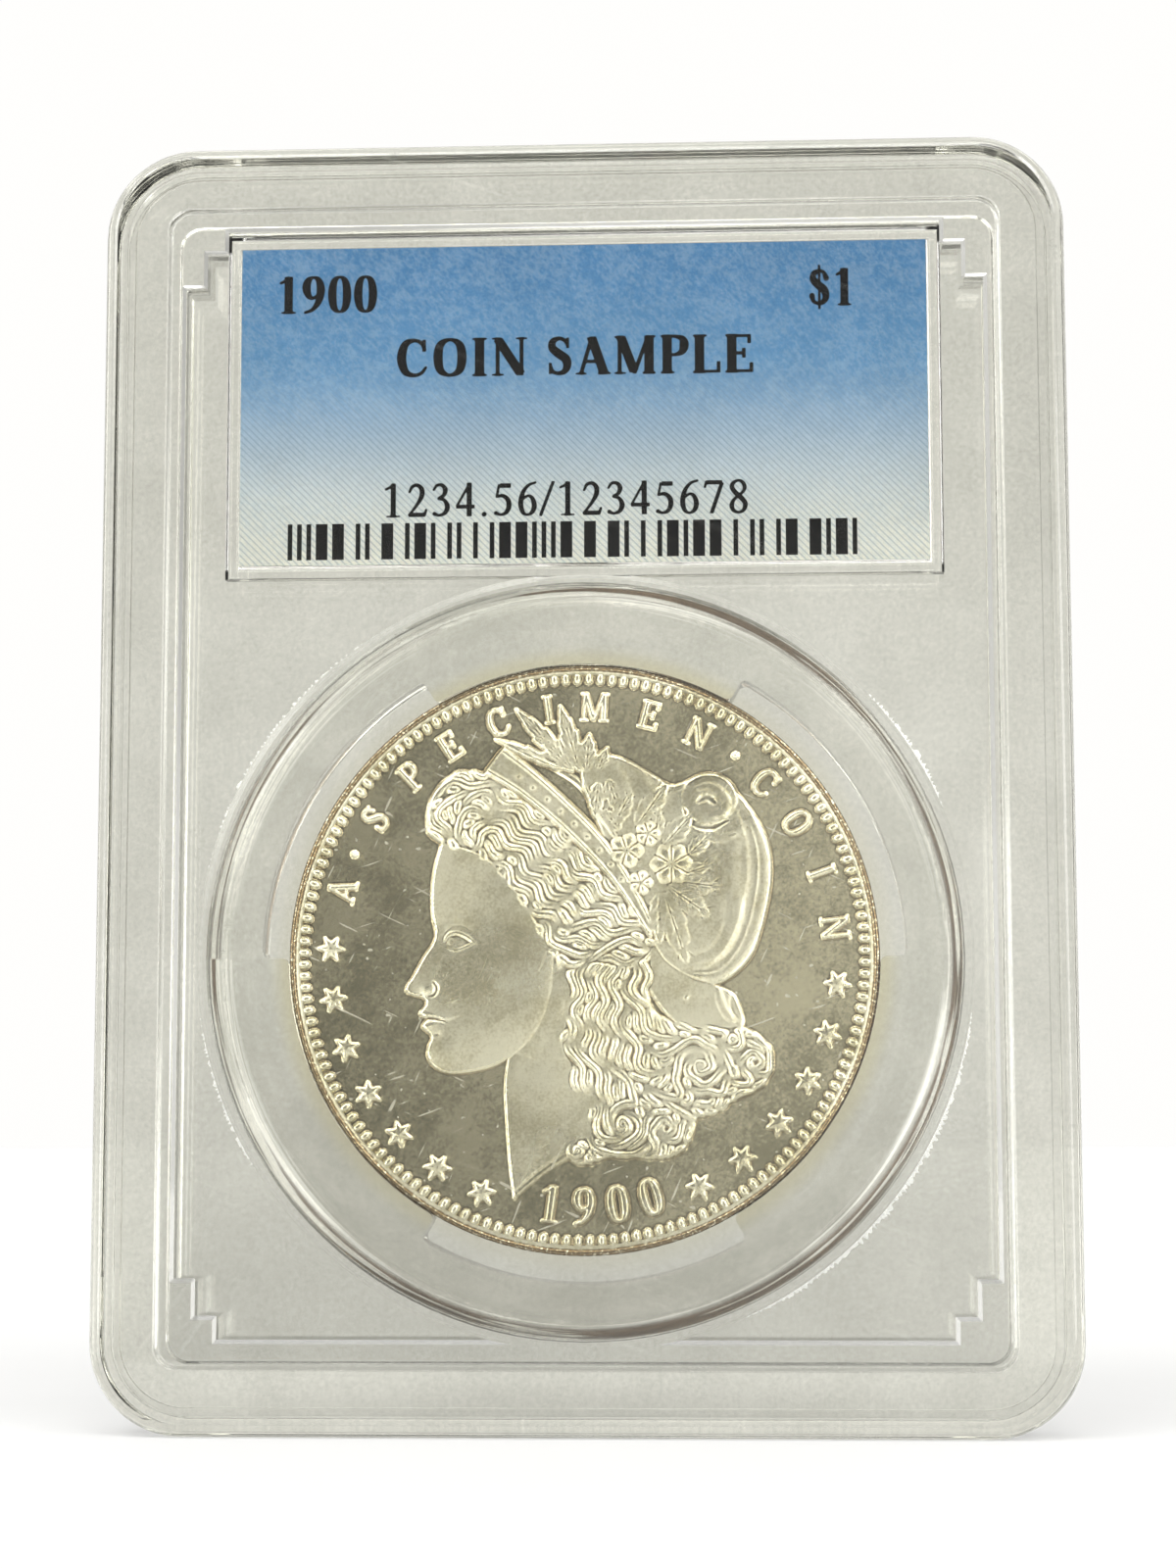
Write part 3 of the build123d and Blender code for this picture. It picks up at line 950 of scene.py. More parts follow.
def lay_strand(laid, path, width, rise):
    """One strand, thinner to its ends, laid on a height map wherever it is the higher."""
    ends = np.linspace(0, 1, len(path))
    size = np.minimum(1.0, 3.0 * np.minimum(ends, 1 - ends) + 0.15)
    reach = int(width / PITCH) + 1
    for (px, py), share in zip(path, size):
        row, column = int(round((py + HALF) / PITCH)), int(round((px + HALF) / PITCH))
        near = (slice(row - reach, row + reach + 1), slice(column - reach, column + reach + 1))
        squares = (steps[near[1]] - px) ** 2 + (steps[near[0]] - py)[:, None] ** 2
        ridge = rise * share * (1.0 - squares / (width * width))
        np.maximum(laid[near], ridge, out=laid[near])


def lay_leaf(relief, base, tip, width, level, rise=0.05, teeth=4):
    """A leaf with a raised middle rib, side veins and a lobed edge."""
    base, tip = np.array(base, float), np.array(tip, float)
    length = np.hypot(*(tip - base))
    ahead = (tip - base) / length
    across = np.array([-ahead[1], ahead[0]])
    t = np.linspace(0, 1, 8 * teeth + 1)
    lobes = 1 + 0.28 * (np.mod(t * teeth, 1.0) - 0.5)
    half = width * np.sin(math.pi * t**0.8) ** 0.8 * lobes
    middle = base + np.outer(t * length, ahead)
    outline = np.concatenate([middle + np.outer(half, across), (middle - np.outer(half, across))[::-1]])
    relief.mass(outline, level, level + rise, 0.7 * width)
    relief.strand(np.array([base, tip]), 0.12, -0.035)
    for tooth in range(1, teeth):
        root = base + (tip - base) * tooth / teeth
        for side in (-1, 1):
            end = root + ahead * length * 0.2 + side * across * width * 0.75
            relief.strand(np.array([root, end]), 0.09, -0.025, taper=1.0)


def lay_blossom(relief, cx, cy, radius, level, lobes=5):
    """A round blossom of plump lobes about a small middle."""
    turn = np.linspace(0, 2 * math.pi, 40, endpoint=False)
    reach = radius * (1 + 0.1 * np.cos(lobes * turn))
    outline = np.stack([cx + reach * np.cos(turn), cy + reach * np.sin(turn)], 1)
    relief.mass(outline, level, level + 0.05, 0.6 * radius)
    for lobe in range(lobes):
        angle = 360 * lobe / lobes
        x, y = polar(0.55 * radius, angle)
        relief.bump(cx + x, cy + y, 0.5 * radius, 0.36 * radius, 0.05, turn=angle)
        x, y = polar(0.95 * radius, angle + 180 / lobes)
        relief.strand(np.array([(cx, cy), (cx + x, cy + y)]), 0.12, -0.05)
    relief.bump(cx, cy, 0.25 * radius, 0.25 * radius, 0.05)


def draw_neck(relief):
    front = smooth_curve([(-4.9, -6.3), (-5.1, -8.2), (-5.0, -10.5), (-4.8, -13.2), (-4.5, -15.5)], steps=6)
    cut = smooth_curve([(-4.5, -15.5), (-3.3, -14.4), (-1.6, -13.2), (0.8, -12.4)], steps=5)
    outline = np.concatenate([front, cut, [(4.0, -10.0), (4.0, 2.0), (-2.0, 2.0), (-4.0, -4.0)]])
    relief.mass(outline, 0.055, 0.085, 2.4)
    relief.strokes(
        ([(-0.8, -4.5), (-2.2, -8.5), (-3.6, -13.0)], 1.2, 0.015, 0.6, 1.2),
        ([(-4.4, -15.0), (-3.1, -13.9), (-1.4, -12.7)], 0.16, -0.02),
    )


def draw_face(relief):
    """An even classical face on thirds: hairline to brow, brow to nose, and nose to chin."""
    hairline, brow, nose, chin = 7.4, 2.45, -2.5, -7.45
    profile = smooth_curve([
        (-8.75, hairline + 1.2), (-9.25, hairline), (-9.72, 5.7), (-9.88, 4.1), (-9.82, brow + 0.25),
        (-9.62, brow - 0.75), (-9.78, brow - 1.5), (-10.35, 0.1), (-11.05, -1.15), (-11.5, -1.85),
        (-11.42, -2.25), (-10.95, nose + 0.05), (-10.35, nose - 0.12), (-10.22, -3.0),
        (-10.5, -3.35), (-10.62, -3.62), (-10.3, -3.92), (-10.2, -4.02), (-10.42, -4.25), (-10.4, -4.55),
        (-9.98, -4.88), (-9.86, -5.2), (-10.05, -5.65), (-10.12, -6.2), (-9.85, -6.85), (-9.2, -7.3),
        (-8.3, chin), (-7.0, -7.3), (-5.6, -6.9), (-4.2, -6.0), (-3.0, -4.6), (-2.2, -2.6), (-1.9, 0.0),
    ], steps=6)
    outline = np.concatenate([profile, [(1.0, 3.0), (0.0, 8.0), (-4.0, 10.0), (-7.5, 9.6)]])
    relief.mass(outline, 0.082, 0.135, 2.3)
    relief.bumps(
        (-5.2, -6.4, 3.4, 1.2, -0.012, 32), (-8.35, 1.15, 1.55, 0.95, -0.055, -6),
        (-8.3, 1.02, 0.85, 0.62, 0.05), (-8.62, 1.08, 0.25, 0.34, 0.02), (-10.12, -2.0, 0.62, 0.5, 0.045),
        (-10.55, -2.42, 0.28, 0.14, -0.06), (-10.05, -3.6, 0.75, 0.34, 0.032, -14),
        (-9.95, -4.32, 0.66, 0.34, 0.036, 10), (-8.85, -4.1, 0.3, 0.34, -0.03),
        (-9.55, -4.95, 0.6, 0.35, -0.03), (-9.1, -6.1, 1.15, 1.1, 0.03), (-6.9, -1.4, 3.0, 3.0, 0.03),
        (-6.4, -4.9, 2.6, 1.8, 0.014),
    )
    relief.strokes(
        ([(-9.75, 2.45), (-9.1, 2.75), (-8.0, 2.75), (-6.9, 2.3)], 0.5, 0.022, 0.6, 1.5),
        ([(-9.0, 1.1), (-8.75, 1.48), (-8.2, 1.62), (-7.55, 1.35), (-7.0, 0.95)], 0.17, 0.055),
        ([(-8.8, 0.62), (-8.2, 0.5), (-7.6, 0.72), (-7.15, 0.92)], 0.13, 0.035),
        ([(-8.95, 1.6), (-8.5, 2.0), (-7.8, 2.0), (-7.0, 1.5)], 0.14, -0.02),
        ([(-9.6, 0.9), (-10.1, -0.6), (-10.75, -1.6)], 0.8, 0.02, 0.6, 1.5),
        ([(-9.75, -1.5), (-9.5, -1.95), (-9.7, -2.4), (-10.1, -2.5)], 0.18, -0.045),
        ([(-10.4, -3.95), (-9.9, -3.9), (-9.4, -3.98), (-8.95, -4.1)], 0.15, -0.06),
        ([(-9.0, -2.4), (-8.6, -3.3), (-8.4, -4.2)], 0.55, -0.014, 0.6, 1.4),
    )


def draw_cap(relief):
    """A soft cap with a rolled rear edge, low folds and a gathered knob."""
    outline = smooth_curve([
        (-0.2, 12.6), (0.6, 13.2), (2.4, 13.0), (4.4, 11.9), (5.6, 11.2), (6.4, 11.3), (7.4, 11.7),
        (9.0, 11.5), (10.6, 9.9), (11.9, 7.6), (12.15, 5.0), (11.5, 1.8), (10.6, -0.3), (8.7, -1.75),
        (6.8, -1.5), (5.0, -0.4), (4.2, 1.2), (2.6, 4.6), (1.2, 8.0), (0.2, 10.4)], closed=True)
    relief.mass(outline, 0.085, 0.155, 2.4)
    rear = smooth_curve([(10.9, 9.0), (11.6, 7.0), (11.7, 4.8), (11.1, 1.9), (10.2, 0.0), (8.8, -1.2),
                         (7.2, -1.2)])
    relief.strand(rear, 0.5, 0.055)
    relief.strand(rear + (-0.75, 0.35), 0.4, -0.03)
    folds = (
        ([(10.3, 8.6), (9.5, 6.8), (9.6, 4.6), (10.2, 2.4)], 0.85, 0.03),
        ([(9.0, 7.4), (8.3, 6.4), (8.6, 4.6), (8.8, 2.8)], 0.8, 0.02),
        ([(10.1, 3.6), (9.6, 1.6), (8.6, 0.2), (7.2, -0.3)], 0.6, 0.035),
        ([(8.9, 2.2), (8.2, 0.9), (6.8, 0.5), (5.4, 0.6)], 0.5, 0.03),
        ([(2.0, 12.5), (2.6, 11.0), (2.4, 9.8)], 0.6, 0.03),
        ([(3.9, 11.8), (4.2, 10.8), (5.4, 10.2)], 0.6, 0.03),
        ([(6.9, 9.3), (7.3, 8.4), (8.6, 7.7), (9.8, 7.9)], 0.5, 0.04),
        ([(7.4, 7.6), (8.4, 7.0), (9.4, 5.6)], 0.45, -0.025),
    )
    for points, width, amount in folds:
        relief.strand(smooth_curve(points), width, amount, taper=1.0, sharp=1.3)
    turn = np.linspace(0, 2 * math.pi, 48, endpoint=False)
    knob = np.stack([8.15 + 1.85 * np.cos(turn), 10.2 + 1.72 * np.sin(turn)], 1)
    relief.mass(knob, 0.13, 0.185, 1.0)
    relief.strokes(
        ([(7.3, 10.9), (8.3, 11.0), (9.2, 10.2), (9.1, 9.3), (8.4, 9.1)], 0.4, 0.04, 0.9),
        ([(7.4, 10.0), (8.0, 10.3), (8.6, 9.9)], 0.3, -0.05),
        ([(6.5, 9.6), (7.1, 8.6), (8.2, 8.3), (9.4, 8.8)], 0.24, -0.06),
    )


def draw_tie(relief):
    """The smooth cloth that binds the hair behind the neck."""
    outline = smooth_curve([
        (4.3, 1.0), (5.4, -0.3), (7.0, -1.3), (8.8, -1.9), (9.8, -2.6), (10.3, -4.2), (9.6, -5.0),
        (7.8, -4.6), (6.2, -4.4), (4.9, -3.2), (4.0, -1.4)], closed=True)
    relief.mass(outline, 0.07, 0.12, 1.3)
    relief.bump(6.6, -2.6, 0.35, 0.25, 0.05, turn=40)
    relief.strokes(
        ([(8.6, -2.0), (8.9, -3.2), (9.6, -4.2)], 0.35, 0.045),
        ([(9.5, -2.4), (9.6, -3.4), (10.2, -4.2)], 0.2, -0.03),
        ([(4.9, -0.9), (6.2, -1.9), (7.8, -2.4)], 0.5, 0.02, 1.0),
    )


def draw_long_hair(relief):
    """Waved hair that falls behind the ear and gathers in large loose curls."""
    outline = smooth_curve([
        (-0.8, -0.2), (-0.9, -3.0), (-1.4, -5.6), (-0.8, -7.0), (-0.6, -8.3), (0.8, -9.0), (0.4, -10.0),
        (0.5, -11.2), (-0.6, -11.9), (-1.15, -12.6), (-0.3, -13.3), (1.3, -12.9), (2.6, -12.7), (4.1, -12.9),
        (5.9, -12.7), (6.9, -11.6), (7.3, -10.3), (8.3, -10.1), (9.5, -9.3), (11.0, -8.6), (12.0, -7.5),
        (12.1, -6.3), (11.25, -5.0), (10.0, -4.5), (7.9, -4.6), (5.9, -4.2), (4.3, -3.0), (4.2, 0.4),
        (2.0, 0.6)], closed=True)
    relief.mass(outline, 0.06, 0.095, 1.2)
    guides = (
        [(0.2, 0.4), (-0.2, -2.0), (-0.5, -4.5), (-0.3, -7.0), (0.9, -9.2), (1.0, -11.5), (-0.4, -12.8)],
        [(2.2, 0.4), (1.8, -2.2), (1.9, -4.6), (2.4, -7.0), (3.6, -9.2), (5.4, -9.0)],
        [(3.6, 0.4), (3.5, -2.0), (4.4, -3.9), (5.8, -5.0), (8.0, -5.0), (10.2, -5.2), (11.4, -6.4)],
        [(3.4, -8.6), (5.2, -9.4), (7.6, -9.9), (9.8, -9.0), (11.4, -7.8)],
        [(0.6, -12.6), (2.4, -12.4), (4.6, -12.6), (6.4, -11.6)],
    )
    curls = ((7.5, -7.0, 2.5, -1), (2.5, -10.7, 1.7, 1), (5.3, -11.0, 1.5, -1), (11.0, -6.8, 1.3, -1),
             (9.6, -5.3, 0.7, 1), (-0.4, -12.4, 0.7, 1))
    flow = Flow(guides, curls, wave=(0.12, 0.42), swing=34, reach=0.9)
    comb(relief, outline, flow)
    for cx, cy, radius, _ in curls:
        relief.bump(cx, cy, 0.22 * radius, 0.22 * radius, -0.05)


def draw_swept_hair(relief):
    """Crimped hair swept back from the brow, with a full roll over the forehead."""
    outline = smooth_curve([
        (-8.75, 7.3), (-9.9, 7.8), (-10.25, 9.0), (-9.9, 10.4), (-9.1, 11.6), (-7.8, 12.15), (-6.4, 11.95),
        (-4.4, 10.6), (-1.2, 8.0), (1.0, 5.8), (3.2, 3.6), (4.5, 1.9), (4.4, 0.4), (3.0, -0.6), (0.6, -0.4),
        (-1.4, -0.9), (-2.2, 0.6), (-3.2, 2.4), (-4.6, 4.6), (-6.2, 6.3), (-7.6, 7.0)], closed=True)
    relief.mass(outline, 0.07, 0.10, 1.5)
    guides = (
        [(-8.6, 7.5), (-9.7, 8.3), (-9.8, 10.0), (-8.4, 11.5), (-6.4, 11.3), (-4.2, 9.9)],
        [(-8.0, 7.7), (-8.8, 8.6), (-8.6, 9.8), (-7.2, 10.5), (-5.4, 9.9), (-2.6, 7.9), (0.4, 5.4),
         (4.2, 2.0)],
        [(-7.2, 7.4), (-7.4, 8.4), (-6.0, 8.6), (-4.0, 7.2), (-1.4, 5.0), (1.6, 3.2), (4.3, 1.6)],
        [(-6.6, 6.8), (-5.0, 5.6), (-3.4, 3.6), (-1.4, 2.2), (1.6, 1.4), (4.3, 1.0)],
        [(-2.4, 1.2), (-1.4, -0.3), (0.6, 0.2), (2.6, 0.2), (4.2, 0.6)],
    )
    flow = Flow(guides, ((-1.9, -0.2, 0.5, 1),), wave=(0.30, -0.34), swing=34, reach=0.7)
    comb(relief, outline, flow)


def draw_band(relief):
    """Ears of wheat, a plain headband with beaded middle, and leaves and blossoms behind it."""
    sprigs = (((-0.6, 12.2), (-4.5, 16.3), 0.62, 0.08), ((-0.2, 12.0), (-1.55, 16.5), 0.66, 0.10),
              ((-1.0, 12.2), (-5.9, 14.3), 0.42, 0.09), ((-0.6, 12.0), (-2.9, 14.5), 0.45, 0.12),
              ((0.2, 12.0), (0.4, 14.6), 0.62, 0.12), ((0.9, 12.0), (1.6, 13.7), 0.45, 0.12))
    for base, tip, width, level in sprigs:
        lay_leaf(relief, base, tip, width, level, teeth=5)
    upper = smooth_curve([(-5.15, 13.75), (-3.2, 12.2), (-1.0, 10.2), (1.2, 7.9), (2.9, 5.4), (4.6, 2.0)])
    lower = smooth_curve([(-6.5, 11.95), (-4.4, 10.7), (-2.0, 8.8), (0.1, 6.8), (2.2, 4.4), (4.3, 1.2)])
    upper, lower = along(upper, 40), along(lower, 40)
    relief.mass(np.concatenate([upper, lower[::-1]]), 0.165, 0.178, 0.3)
    edge, foot = 0.86 * upper + 0.14 * lower, 0.14 * upper + 0.86 * lower
    for line in (edge, foot, np.array([edge[0], foot[0]])):
        relief.strand(line, 0.15, 0.05, taper=0.1)
    for number in range(5, 32, 3):
        middle = (upper[number] + lower[number]) / 2
        relief.bump(*middle, 0.3, 0.3, 0.045)
    stem = smooth_curve([(-5.2, 14.0), (-3.0, 12.9), (-0.4, 11.4), (0.9, 9.6), (2.2, 7.6)])
    relief.strand(stem, 0.28, 0.06, taper=0.5)
    leaves = (
        ((1.0, 11.4), (0.7, 9.0), 0.55), ((1.6, 11.6), (2.4, 9.2), 0.55), ((3.4, 8.4), (5.5, 11.3), 0.75),
        ((2.0, 8.6), (3.2, 10.8), 0.6), ((5.2, 7.2), (7.1, 9.3), 0.75), ((4.6, 7.4), (4.9, 9.6), 0.6),
        ((2.4, 8.2), (1.3, 9.6), 0.5), ((6.8, 6.6), (8.3, 8.0), 0.55), ((5.6, 4.9), (9.0, 4.5), 0.8),
        ((5.4, 4.6), (8.2, 2.6), 0.85), ((4.9, 4.2), (4.9, 0.8), 0.7), ((5.2, 4.2), (6.7, -0.5), 0.85),
        ((5.6, 5.0), (8.4, 6.0), 0.6),
    )
    for base, tip, width in leaves:
        lay_leaf(relief, base, tip, width, 0.155, rise=0.045)
    blossoms = ((2.8, 6.9, 1.05, 5), (5.7, 6.0, 1.3, 6), (4.2, 8.0, 0.8, 5), (3.7, 4.8, 0.75, 5))
    for cx, cy, radius, lobes in blossoms:
        lay_blossom(relief, cx, cy, radius, 0.165, lobes)


def draw_legend(relief):
    """Fifteen places of lettering over the head, then thirteen stars and the date."""
    angles = (164.3, 155.6, 146.2, 133.4, 122.2, 110, 98, 87.4, 74.6, 62.7, 52.9, 43.8, 32, 19.4, 6.5)
    for letter, angle in zip(LEGEND, angles):
        if letter == ".":
            relief.bump(*polar(16.35, angle), 0.34, 0.34, 0.14)
        else:
            relief.letter(letter, *polar(LEGEND_RADIUS, angle), angle - 90, LEGEND_HEIGHT)
    for angle in (*np.linspace(177.8, 246.4, 7), *np.linspace(-6.2, -63.2, 6)):
        relief.star(*polar(STAR_RADIUS, angle), angle)
    for letter, angle in zip("1900", (262.2, 270.0, 277.8, 285.6)):
        relief.letter(letter, *polar(15.9, angle), angle + 90, 2.3, rise=0.16, stem=0.22)


def make_obverse():
    relief = Relief()
    for draw in (draw_neck, draw_face, draw_cap, draw_tie, draw_long_hair, draw_swept_hair, draw_band,
                 draw_legend):
        draw(relief)
    relief.soften(COIN_RIM_HEIGHT)
    relief.border()
    return relief


def make_reverse():
    """A wreath of two branches round a large figure, with a star over it."""
    relief = Relief()
    branch = ((0.6, -12.6), (6.5, -11.4), (11.2, -6.6), (12.6, 0.0), (11.0, 6.6), (6.2, 11.4))
    for side in (-1, 1):
        stem = smooth_curve([(side * x, y) for x, y in branch])
        relief.strand(stem, 0.35, 0.12, taper=0.8)
        path = along(stem, 15)
        for here, there in zip(path[:-1], path[1:]):
            ahead = (there - here) / np.hypot(*(there - here))
            across = np.array([-ahead[1], ahead[0]])
            for way in (-1, 1):
                tip = here + 1.9 * ahead + way * 1.7 * across
                lay_leaf(relief, here, tip, 0.75, 0.09, rise=0.06, teeth=3)
            relief.bump(*(here + 0.9 * ahead), 0.4, 0.4, 0.12)
    relief.letter("1", 0.0, 0.2, 0.0, 9.0, rise=0.2, stem=0.24)
    relief.star(0.0, 8.6, 90.0, size=1.6)
    for letter, angle in zip(LEGEND, np.linspace(160, 20, len(LEGEND))):
        if letter != ".":
            relief.letter(letter, *polar(LEGEND_RADIUS, angle), angle - 90, LEGEND_HEIGHT)
    for angle in np.linspace(195, 345, 11):
        relief.star(*polar(STAR_RADIUS, angle), angle)
    relief.soften(COIN_RIM_HEIGHT)
    relief.border()
    return relief


# ---------------------------------------------------------------- the coin's meshes

SEAM_RADIUS = 15.3
DISC_CELLS = 300
BORDER_CELLS = 38
REEDS = 188
REED_POINTS = 6
REED_DEPTH = 0.08
REED_INSET = 0.06
EDGE_LIP = 0.02
EDGE_OVERLAP = 0.65


def ring_points(reach, y, turn):
    """Points round the coin's axis, at distances and depths in millimetres and directions in radians."""
    across, up = reach * np.cos(turn), reach * np.sin(turn)
    return np.stack([across, np.broadcast_to(y, turn.shape), up + COIN_MIDDLE], 1)


def disc_points(cells, radius):
    """A square grid wrapped onto a disc, so that its cells stay nearly even."""
    side = np.linspace(-1.0, 1.0, cells + 1)
    a, b = np.meshgrid(side, side)
    wide = abs(a) > abs(b)
    reach = np.where(wide, a, b)
    share = np.where(wide, b, a) / np.where(reach == 0, 1.0, reach)
    turn = share * math.pi / 4
    turn = np.where(wide, turn, math.pi / 2 - turn)
    return radius * reach * np.cos(turn), radius * reach * np.sin(turn)


def add_struck_face(name, relief, facing, x, y, faces, material):
    """Part of one face of the coin, with its slopes taken from the finer height map."""
    x, y = x.ravel(), y.ravel()
    height, slope_x, slope_y, hollow = relief.sample(x, y)
    points = np.stack([-facing * x, facing * (COIN_FIELD + height), y + COIN_MIDDLE], axis=1)
    normals = np.stack([facing * slope_x, np.full(x.shape, facing), -slope_y], axis=1)
    normals /= np.linalg.norm(normals, axis=1, keepdims=True)
    piece = add_piece(name, points, faces, material)
    piece.data.normals_split_custom_set_from_vertices(normals)
    piece.data.attributes.new("hollow", "FLOAT", "POINT").data.foreach_set("value", hollow)
    return piece


def add_coin_side(name, relief, facing, material):
    """One face: a disc inside the seam, and a finer ring outside it that matches its edge."""
    x, y = disc_points(DISC_CELLS, SEAM_RADIUS)
    faces = grid_faces(*x.shape)
    disc = add_struck_face(name + "_field", relief, facing, x, y, faces, material)
    turns = np.arange(4 * DISC_CELLS) * 2 * math.pi / (4 * DISC_CELLS)
    reach, turn = np.meshgrid(np.linspace(SEAM_RADIUS, COIN_RADIUS, BORDER_CELLS), turns, indexing="ij")
    faces = grid_faces(*reach.shape, closed=True)[:, ::-1]
    x, y = reach * np.cos(turn), reach * np.sin(turn)
    border = add_struck_face(name + "_border", relief, facing, x, y, faces, material)
    return disc, border


def add_coin_edge(material):
    """The reeded edge, a closed ring between the two faces."""
    depth = COIN_FACE - COIN_EDGE_ROUND
    turn = np.arange(REEDS * REED_POINTS) * 2 * math.pi / (REEDS * REED_POINTS)
    groove = REED_DEPTH * (0.5 - 0.5 * np.cos(turn * REEDS)) ** 2
    inner, lip = COIN_RADIUS - EDGE_OVERLAP, COIN_RADIUS - EDGE_LIP
    reeded = COIN_RADIUS - groove
    loop = ((inner, -depth), (lip, -depth - EDGE_LIP), (reeded, -depth + REED_INSET),
            (reeded, depth - REED_INSET), (lip, depth + EDGE_LIP), (inner, depth), (inner, -depth))
    points = np.stack([ring_points(reach, y, turn) for reach, y in loop])
    faces = grid_faces(*points.shape[:2], closed=True)[:, ::-1]
    return add_piece("coin_edge", points.reshape(-1, 3), faces, material)


def add_coin():
    silver = struck_silver()
    front = add_coin_side("coin_obverse", make_obverse(), -1, silver)
    back = add_coin_side("coin_reverse", make_reverse(), 1, silver)
    for piece in (*front, *back, add_coin_edge(silver)):
        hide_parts("coin")


# ---------------------------------------------------------------- the label's print

INK_LIFT = 0.004
INK_THICKNESS = 0.008
INK_CELL = 0.05
LETTER_GAP = 0.08
BARCODE_DIGITS = 14
WIDE_BAR = 2.5
# The five bars of each digit, with 1 for a wide bar
BAR_PATTERNS = ("00110", "10001", "01001", "11000", "00101", "10100", "01100", "00011", "10010", "01010")


def filled_cells(away, xs, ys):
    """The part of a grid where away is negative, as points and faces with a smooth outline."""
    points, places, faces = [], {}, []

    def point(key, x, y):
        if key not in places:
            places[key] = len(points)
            points.append((x, y))
        return places[key]

    busy = np.minimum.reduce([away[:-1, :-1], away[1:, :-1], away[:-1, 1:], away[1:, 1:]]) < 0
    for i, j in np.argwhere(busy):
        corners = [(i, j), (i, j + 1), (i + 1, j + 1), (i + 1, j)]
        face = []
        for (ai, aj), (bi, bj) in zip(corners, corners[1:] + corners[:1]):
            a, b = away[ai, aj], away[bi, bj]
            if a < 0:
                face.append(point((ai, aj), xs[aj], ys[ai]))
            if (a < 0) != (b < 0):
                t = a / (a - b)
                x, y = xs[aj] + t * (xs[bj] - xs[aj]), ys[ai] + t * (ys[bi] - ys[ai])
                face.append(point((min((ai, aj), (bi, bj)), max((ai, aj), (bi, bj))), x, y))
        faces.append(face)
    return points, faces


def print_shapes(name, shapes, material):
    """Flat shapes printed on the card: (points across and up, faces) made one thin piece."""
    back = card_low.y - INK_LIFT
    points, faces = [], []
    for shape_points, shape_faces in shapes:
        start = len(points)
        points += [(x, back, z) for x, z in shape_points]
        faces += [[start + index for index in face] for face in shape_faces]
    piece = add_piece(name, points, faces, material, smooth=False)
    solid = bmesh.new()
    solid.from_mesh(piece.data)
    raised = bmesh.ops.extrude_face_region(solid, geom=solid.faces[:], use_keep_orig=True)
    moved = [item for item in raised["geom"] if isinstance(item, bmesh.types.BMVert)]
    bmesh.ops.translate(solid, verts=moved, vec=(0, -INK_THICKNESS * MM, 0))
    bmesh.ops.recalc_face_normals(solid, faces=solid.faces[:])
    solid.to_mesh(piece.data)
    solid.free()
    return piece


def printed_text(text, left, right, base, height, stem=0.2, hair=0.075):
    """The shapes of a line of text that fills the card from left to right."""
    natural = sum(letter_width(letter) for letter in text) + LETTER_GAP * (len(text) - 1)
    wide = (right - left) / natural
    shapes = []
    for letter in text:
        width = letter_width(letter) * wide
        xs = np.arange(left - 2 * INK_CELL, left + width + 3 * INK_CELL, INK_CELL)
        ys = np.arange(base - 0.15 * height, base + 1.15 * height, INK_CELL)
        x, y = np.meshgrid((xs - left) / wide, (ys - base) / height)
        away = letter_distance(letter, x, y, stem, hair)
        if letter != " ":
            shapes.append(filled_cells(away, xs, ys))
        left += width + LETTER_GAP * wide
    return shapes


def barcode(left, right, low, high):
    """Bars for a row of digits, each digit five bars of which two are wide, in pairs."""
    digits = [random_source.randrange(len(BAR_PATTERNS)) for _ in range(BARCODE_DIGITS)]
    widths = [1, 1, 1, 1]
    for black, white in zip(digits[::2], digits[1::2]):
        for pair in zip(BAR_PATTERNS[black], BAR_PATTERNS[white]):
            widths += [WIDE_BAR if bar == "1" else 1 for bar in pair]
    widths += [WIDE_BAR, 1, 1]
    module = (right - left) / sum(widths)
    shapes = []
    for number, width in enumerate(widths):
        if number % 2 == 0:
            end = left + width * module
            shapes.append(([(left, low), (end, low), (end, high), (left, high)], [[0, 1, 2, 3]]))
        left += width * module
    return shapes


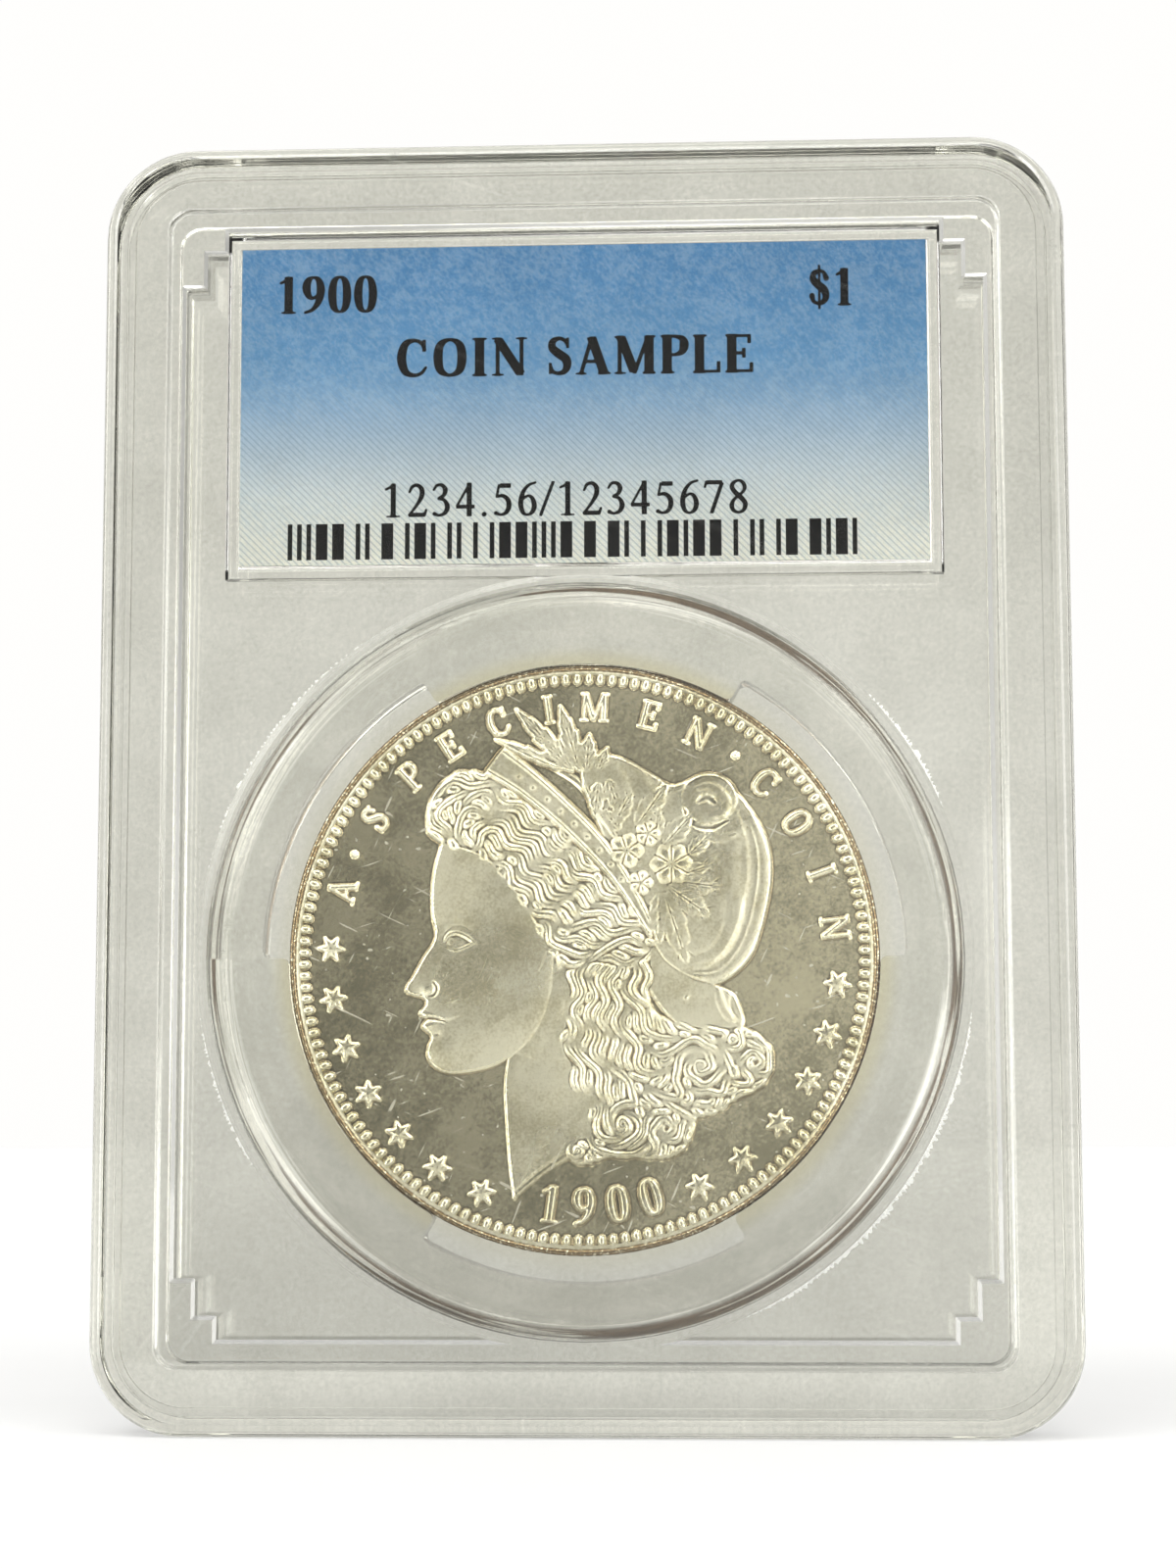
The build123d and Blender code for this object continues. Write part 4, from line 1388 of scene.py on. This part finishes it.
def add_label():
    """The card's own CAD solid with its print, and thin black lettering and bars on it."""
    set_material("label_card", printed_card())
    ink = black_ink()
    top = card_high.z
    # Each line's words, left and right ends, base below the card's top, height and stem width
    lines = (
        ("1900", -20.3, -13.6, 4.35, 2.5, 0.23),
        ("$1", 14.9, 17.9, 4.35, 2.5, 0.23),
        ("COIN SAMPLE", -12.3, 11.3, 8.75, 2.55, 0.23),
        ("1234.56/12345678", -13.2, 10.9, 18.15, 2.25, 0.15),
    )
    for number, (text, left, right, drop, height, stem) in enumerate(lines):
        shapes = printed_text(text, left, right, top - drop, height, stem)
        print_shapes(f"label_line_{number}", shapes, ink)
    print_shapes("label_bars", barcode(-19.4, 17.9, top - 20.95, top - 18.55), ink)


# ---------------------------------------------------------------- plastic, foil and finish

# The weld's beads: arcs in degrees, points to the degree, and how far each bead reaches and rises
FLASH_GAP = 0.03
FLASH_POINTS = 4
FLASH_LEAST_REACH = 0.03
FLASH_REACH = 0.45
FLASH_LEAST_RISE = 0.05
FLASH_RISE = 0.2
FLASH_ARCS = ((118, 172), (-66, -8), (186, 214), (22, 44))


def set_material(node, material):
    for number in range(len(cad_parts[node].data.materials)):
        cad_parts[node].data.materials[number] = material


def add_weld_flash():
    """Small jagged beads of weld, turned white, outside the wall of the ring's well."""
    material = frosted_plastic()
    inner = WELL_RADIUS + FLASH_GAP
    for number, (start, end) in enumerate(FLASH_ARCS):
        count = (end - start) * FLASH_POINTS
        turn = np.radians(np.linspace(start, end, count))
        taper = np.sin(np.linspace(0, math.pi, count)) ** 0.4
        jag = np.array([random_source.uniform(0.2, 1.0) for _ in range(count)]) * taper
        reach = inner + FLASH_REACH * jag + FLASH_LEAST_REACH
        rise = FLASH_LEAST_RISE + FLASH_RISE * jag
        loop = ((inner, -rise), (reach, 0.0), (inner, rise), (inner, -rise))
        points = np.concatenate([ring_points(out, y, turn) for out, y in loop])
        faces = grid_faces(len(loop), count)
        add_piece(f"weld_flash_{number}", points, faces, material, smooth=False)


add_camera()
add_world()
add_floor()
add_coin()
add_label()
add_weld_flash()
set_material("front_shell", clear_plastic("front_plastic", FRONT_TINT, 0.05))
set_material("rear_shell", clear_plastic("rear_plastic", REAR_TINT, 0.06))
set_material("coin_ring", ring_plastic())
set_material("security_seal", security_foil())
